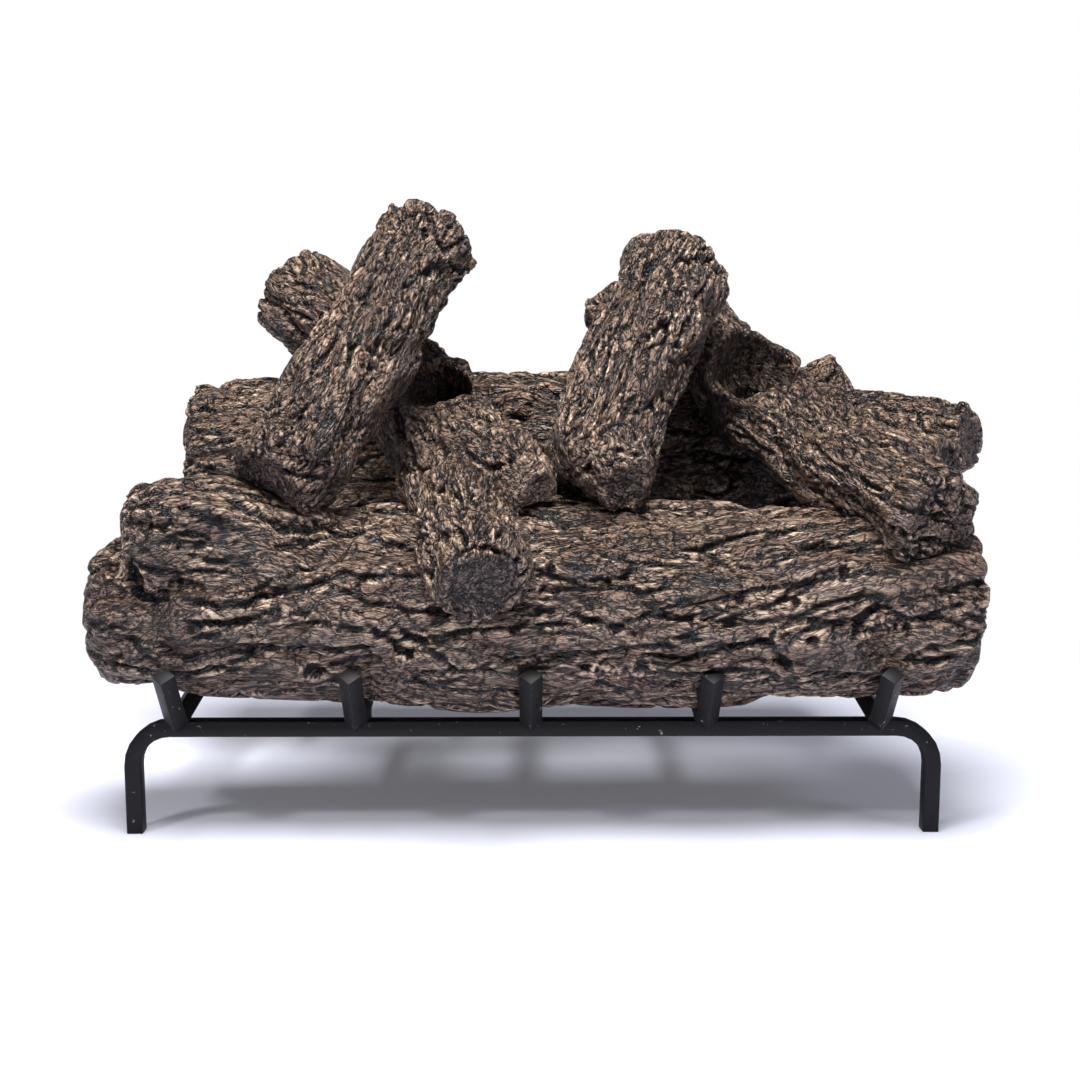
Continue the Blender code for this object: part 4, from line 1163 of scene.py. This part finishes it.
# %% Painted steel bar
bar_paint, tree, shader = new_material("black_stove_paint_on_mild_steel", Roughness=0.5, IOR=1.42)
shader.inputs["Specular IOR Level"].default_value = 0.3
place = add_node(tree, "ShaderNodeTexCoord").outputs["Object"]
edge = add_node(tree, "ShaderNodeAttribute", {"attribute_name": "edge_wear"}).outputs["Fac"]
chips = speckle(6.0, 6.0, 0.75)
dust = speckle(30.0, 5.0, 0.7)
chipped = maths("GREATER_THAN", blend(chips, (edge, 0, 0.14)), 0.80)
black = ramp(dust, [(0.3, "#070607"), (0.62, "#0b090b"), (0.8, "#151113")])
tree.links.new(mix_colours(chipped, black, "#a8a29c"), shader.inputs["Base Color"])
orange_peel = add_node(tree, "ShaderNodeBump", links={"Height": speckle(2.2, 2.0)},
                       values={"Strength": 0.25, "Distance": 0.0004})
tree.links.new(orange_peel.outputs[0], shader.inputs["Normal"])
print("bar paint nodes", len(tree.nodes))

# %% [markdown]
# One function makes every bar, whatever its bends. All bars ride on the grate.

# %% Bars with rounded edges
BAR_EDGE_MM = 0.7
BARS = [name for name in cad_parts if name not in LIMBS]


def rounded_bar(node):
    """A copy of a CAD bar with its long edges rounded and marked for wear."""
    bm = bmesh.new()
    bm.from_mesh(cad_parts[node].data)
    bmesh.ops.remove_doubles(bm, verts=bm.verts, dist=SAME_PLACE)
    bmesh.ops.dissolve_limit(bm, angle_limit=math.radians(1), verts=bm.verts, edges=bm.edges)
    sharp = [edge for edge in bm.edges if edge.is_manifold and edge.calc_face_angle() > math.radians(35)]
    made = bmesh.ops.bevel(bm, geom=sharp, offset=BAR_EDGE_MM * MM, offset_type="OFFSET", segments=3,
                           profile=0.5, affect="EDGES", clamp_overlap=True, material=-1)
    worn = bm.verts.layers.float.new("edge_wear")
    for face in made["faces"]:
        for vert in face.verts:
            vert[worn] = 1
    mesh = bpy.data.meshes.new(node + "_painted")
    bm.to_mesh(mesh)
    bm.free()
    mesh.shade_smooth()
    mesh.set_sharp_from_angle(angle=math.radians(30))
    mesh.materials.append(bar_paint)
    return new_object(node + "_painted", mesh)


for node in BARS:
    bar = rounded_bar(node)
    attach(bar, "grate")
    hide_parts(node)
print("bars", len(BARS))

# %% [markdown]
# The floor is a flat sheet of pale paper, and the world behind it is the backdrop. To the camera the world is
# plain white, and the floor adds a little white of its own, so that it joins the backdrop and still keeps the
# set's soft shadow.

# %% Floor and backdrop
world = bpy.data.worlds.new("studio")
bpy.context.scene.world = world
world.use_nodes = True
tree = world.node_tree
rays = add_node(tree, "ShaderNodeLightPath")
soft = tree.nodes["Background"]
soft.inputs["Color"].default_value = paint("#e4e4f8")
soft.inputs["Strength"].default_value = 0.17
white = add_node(tree, "ShaderNodeBackground", values={"Color": (1, 1, 1, 1), "Strength": 1.0})
both = add_node(tree, "ShaderNodeMixShader", links={"Fac": rays.outputs["Is Camera Ray"]})
tree.links.new(soft.outputs[0], both.inputs[1])
tree.links.new(white.outputs[0], both.inputs[2])
tree.links.new(both.outputs[0], tree.nodes["World Output"].inputs["Surface"])

FLOOR_GAP, FLOOR_HALF = 0.0002, 6.0
SHADOW_ENDS, PAPER_ENDS = 0.42, 0.78
LEAST_GLOW = 0.1
bm = bmesh.new()
bmesh.ops.create_grid(bm, x_segments=1, y_segments=1, size=FLOOR_HALF)
mesh = bpy.data.meshes.new("paper_sweep")
bm.to_mesh(mesh)
bm.free()
floor = new_object("paper_sweep", mesh)
floor.location.z = cad_low.z - FLOOR_GAP
paper, tree, shader = new_material("matt_white_paper", Roughness=1.0)
shader.inputs["Base Color"].default_value = paint("#e6eafb")
shader.inputs["Specular IOR Level"].default_value = 0.0
place = add_node(tree, "ShaderNodeTexCoord").outputs["Object"]
away = add_node(tree, "ShaderNodeVectorMath", {"operation": "LENGTH"},
                links={"Vector": place}).outputs["Value"]
fade = add_node(tree, "ShaderNodeMapRange", {"interpolation_type": "SMOOTHSTEP"}, links={"Value": away},
                values={"From Min": SHADOW_ENDS, "From Max": PAPER_ENDS}).outputs[0]
rays = add_node(tree, "ShaderNodeLightPath")
glow = add_node(tree, "ShaderNodeEmission", values={"Color": (1, 1, 1, 1), "Strength": 1.0})
seen_glow = maths("MULTIPLY", rays.outputs["Is Camera Ray"], maths("MAXIMUM", fade, LEAST_GLOW))
lifted = add_node(tree, "ShaderNodeMixShader", links={"Fac": seen_glow})
tree.links.new(shader.outputs[0], lifted.inputs[1])
tree.links.new(glow.outputs[0], lifted.inputs[2])
tree.links.new(lifted.outputs[0], tree.nodes["Material Output"].inputs["Surface"])
mesh.materials.append(paper)
print("floor level", round(floor.location.z, 4))

# %% [markdown]
# A big soft lamp high over the front of the set gives the light tops and the shadow under the grate.
# A small one at the front left brings out the bark, and a weak one fills the right. Places are in metres
# from the frame's origin, and all three lamps face the middle of the logs.

# %% Lamps
LOGS_MIDDLE = Vector((0, 0, 0.2))


def soft_lamp(name, place, size, power, tint):
    """A square area lamp that faces the middle of the logs."""
    lamp = new_object(name, bpy.data.lights.new(name, "AREA"))
    lamp.data.size = size
    lamp.data.energy = power
    lamp.data.color = paint(tint)[:3]
    lamp.location = place
    lamp.rotation_euler = (LOGS_MIDDLE - lamp.location).to_track_quat("-Z", "Y").to_euler()


soft_lamp("overhead", (0.0, -0.5, 1.7), 0.8, 52.0, "#fffdfb")
soft_lamp("front_left", (-1.1, -1.2, 1.7), 0.25, 14.0, "#fffaf4")
soft_lamp("front_right", (1.5, -1.2, 1.4), 0.4, 5.0, "#f8f9ff")
bpy.context.scene.view_settings.view_transform = "Standard"
print("lamps", len(bpy.data.lights))
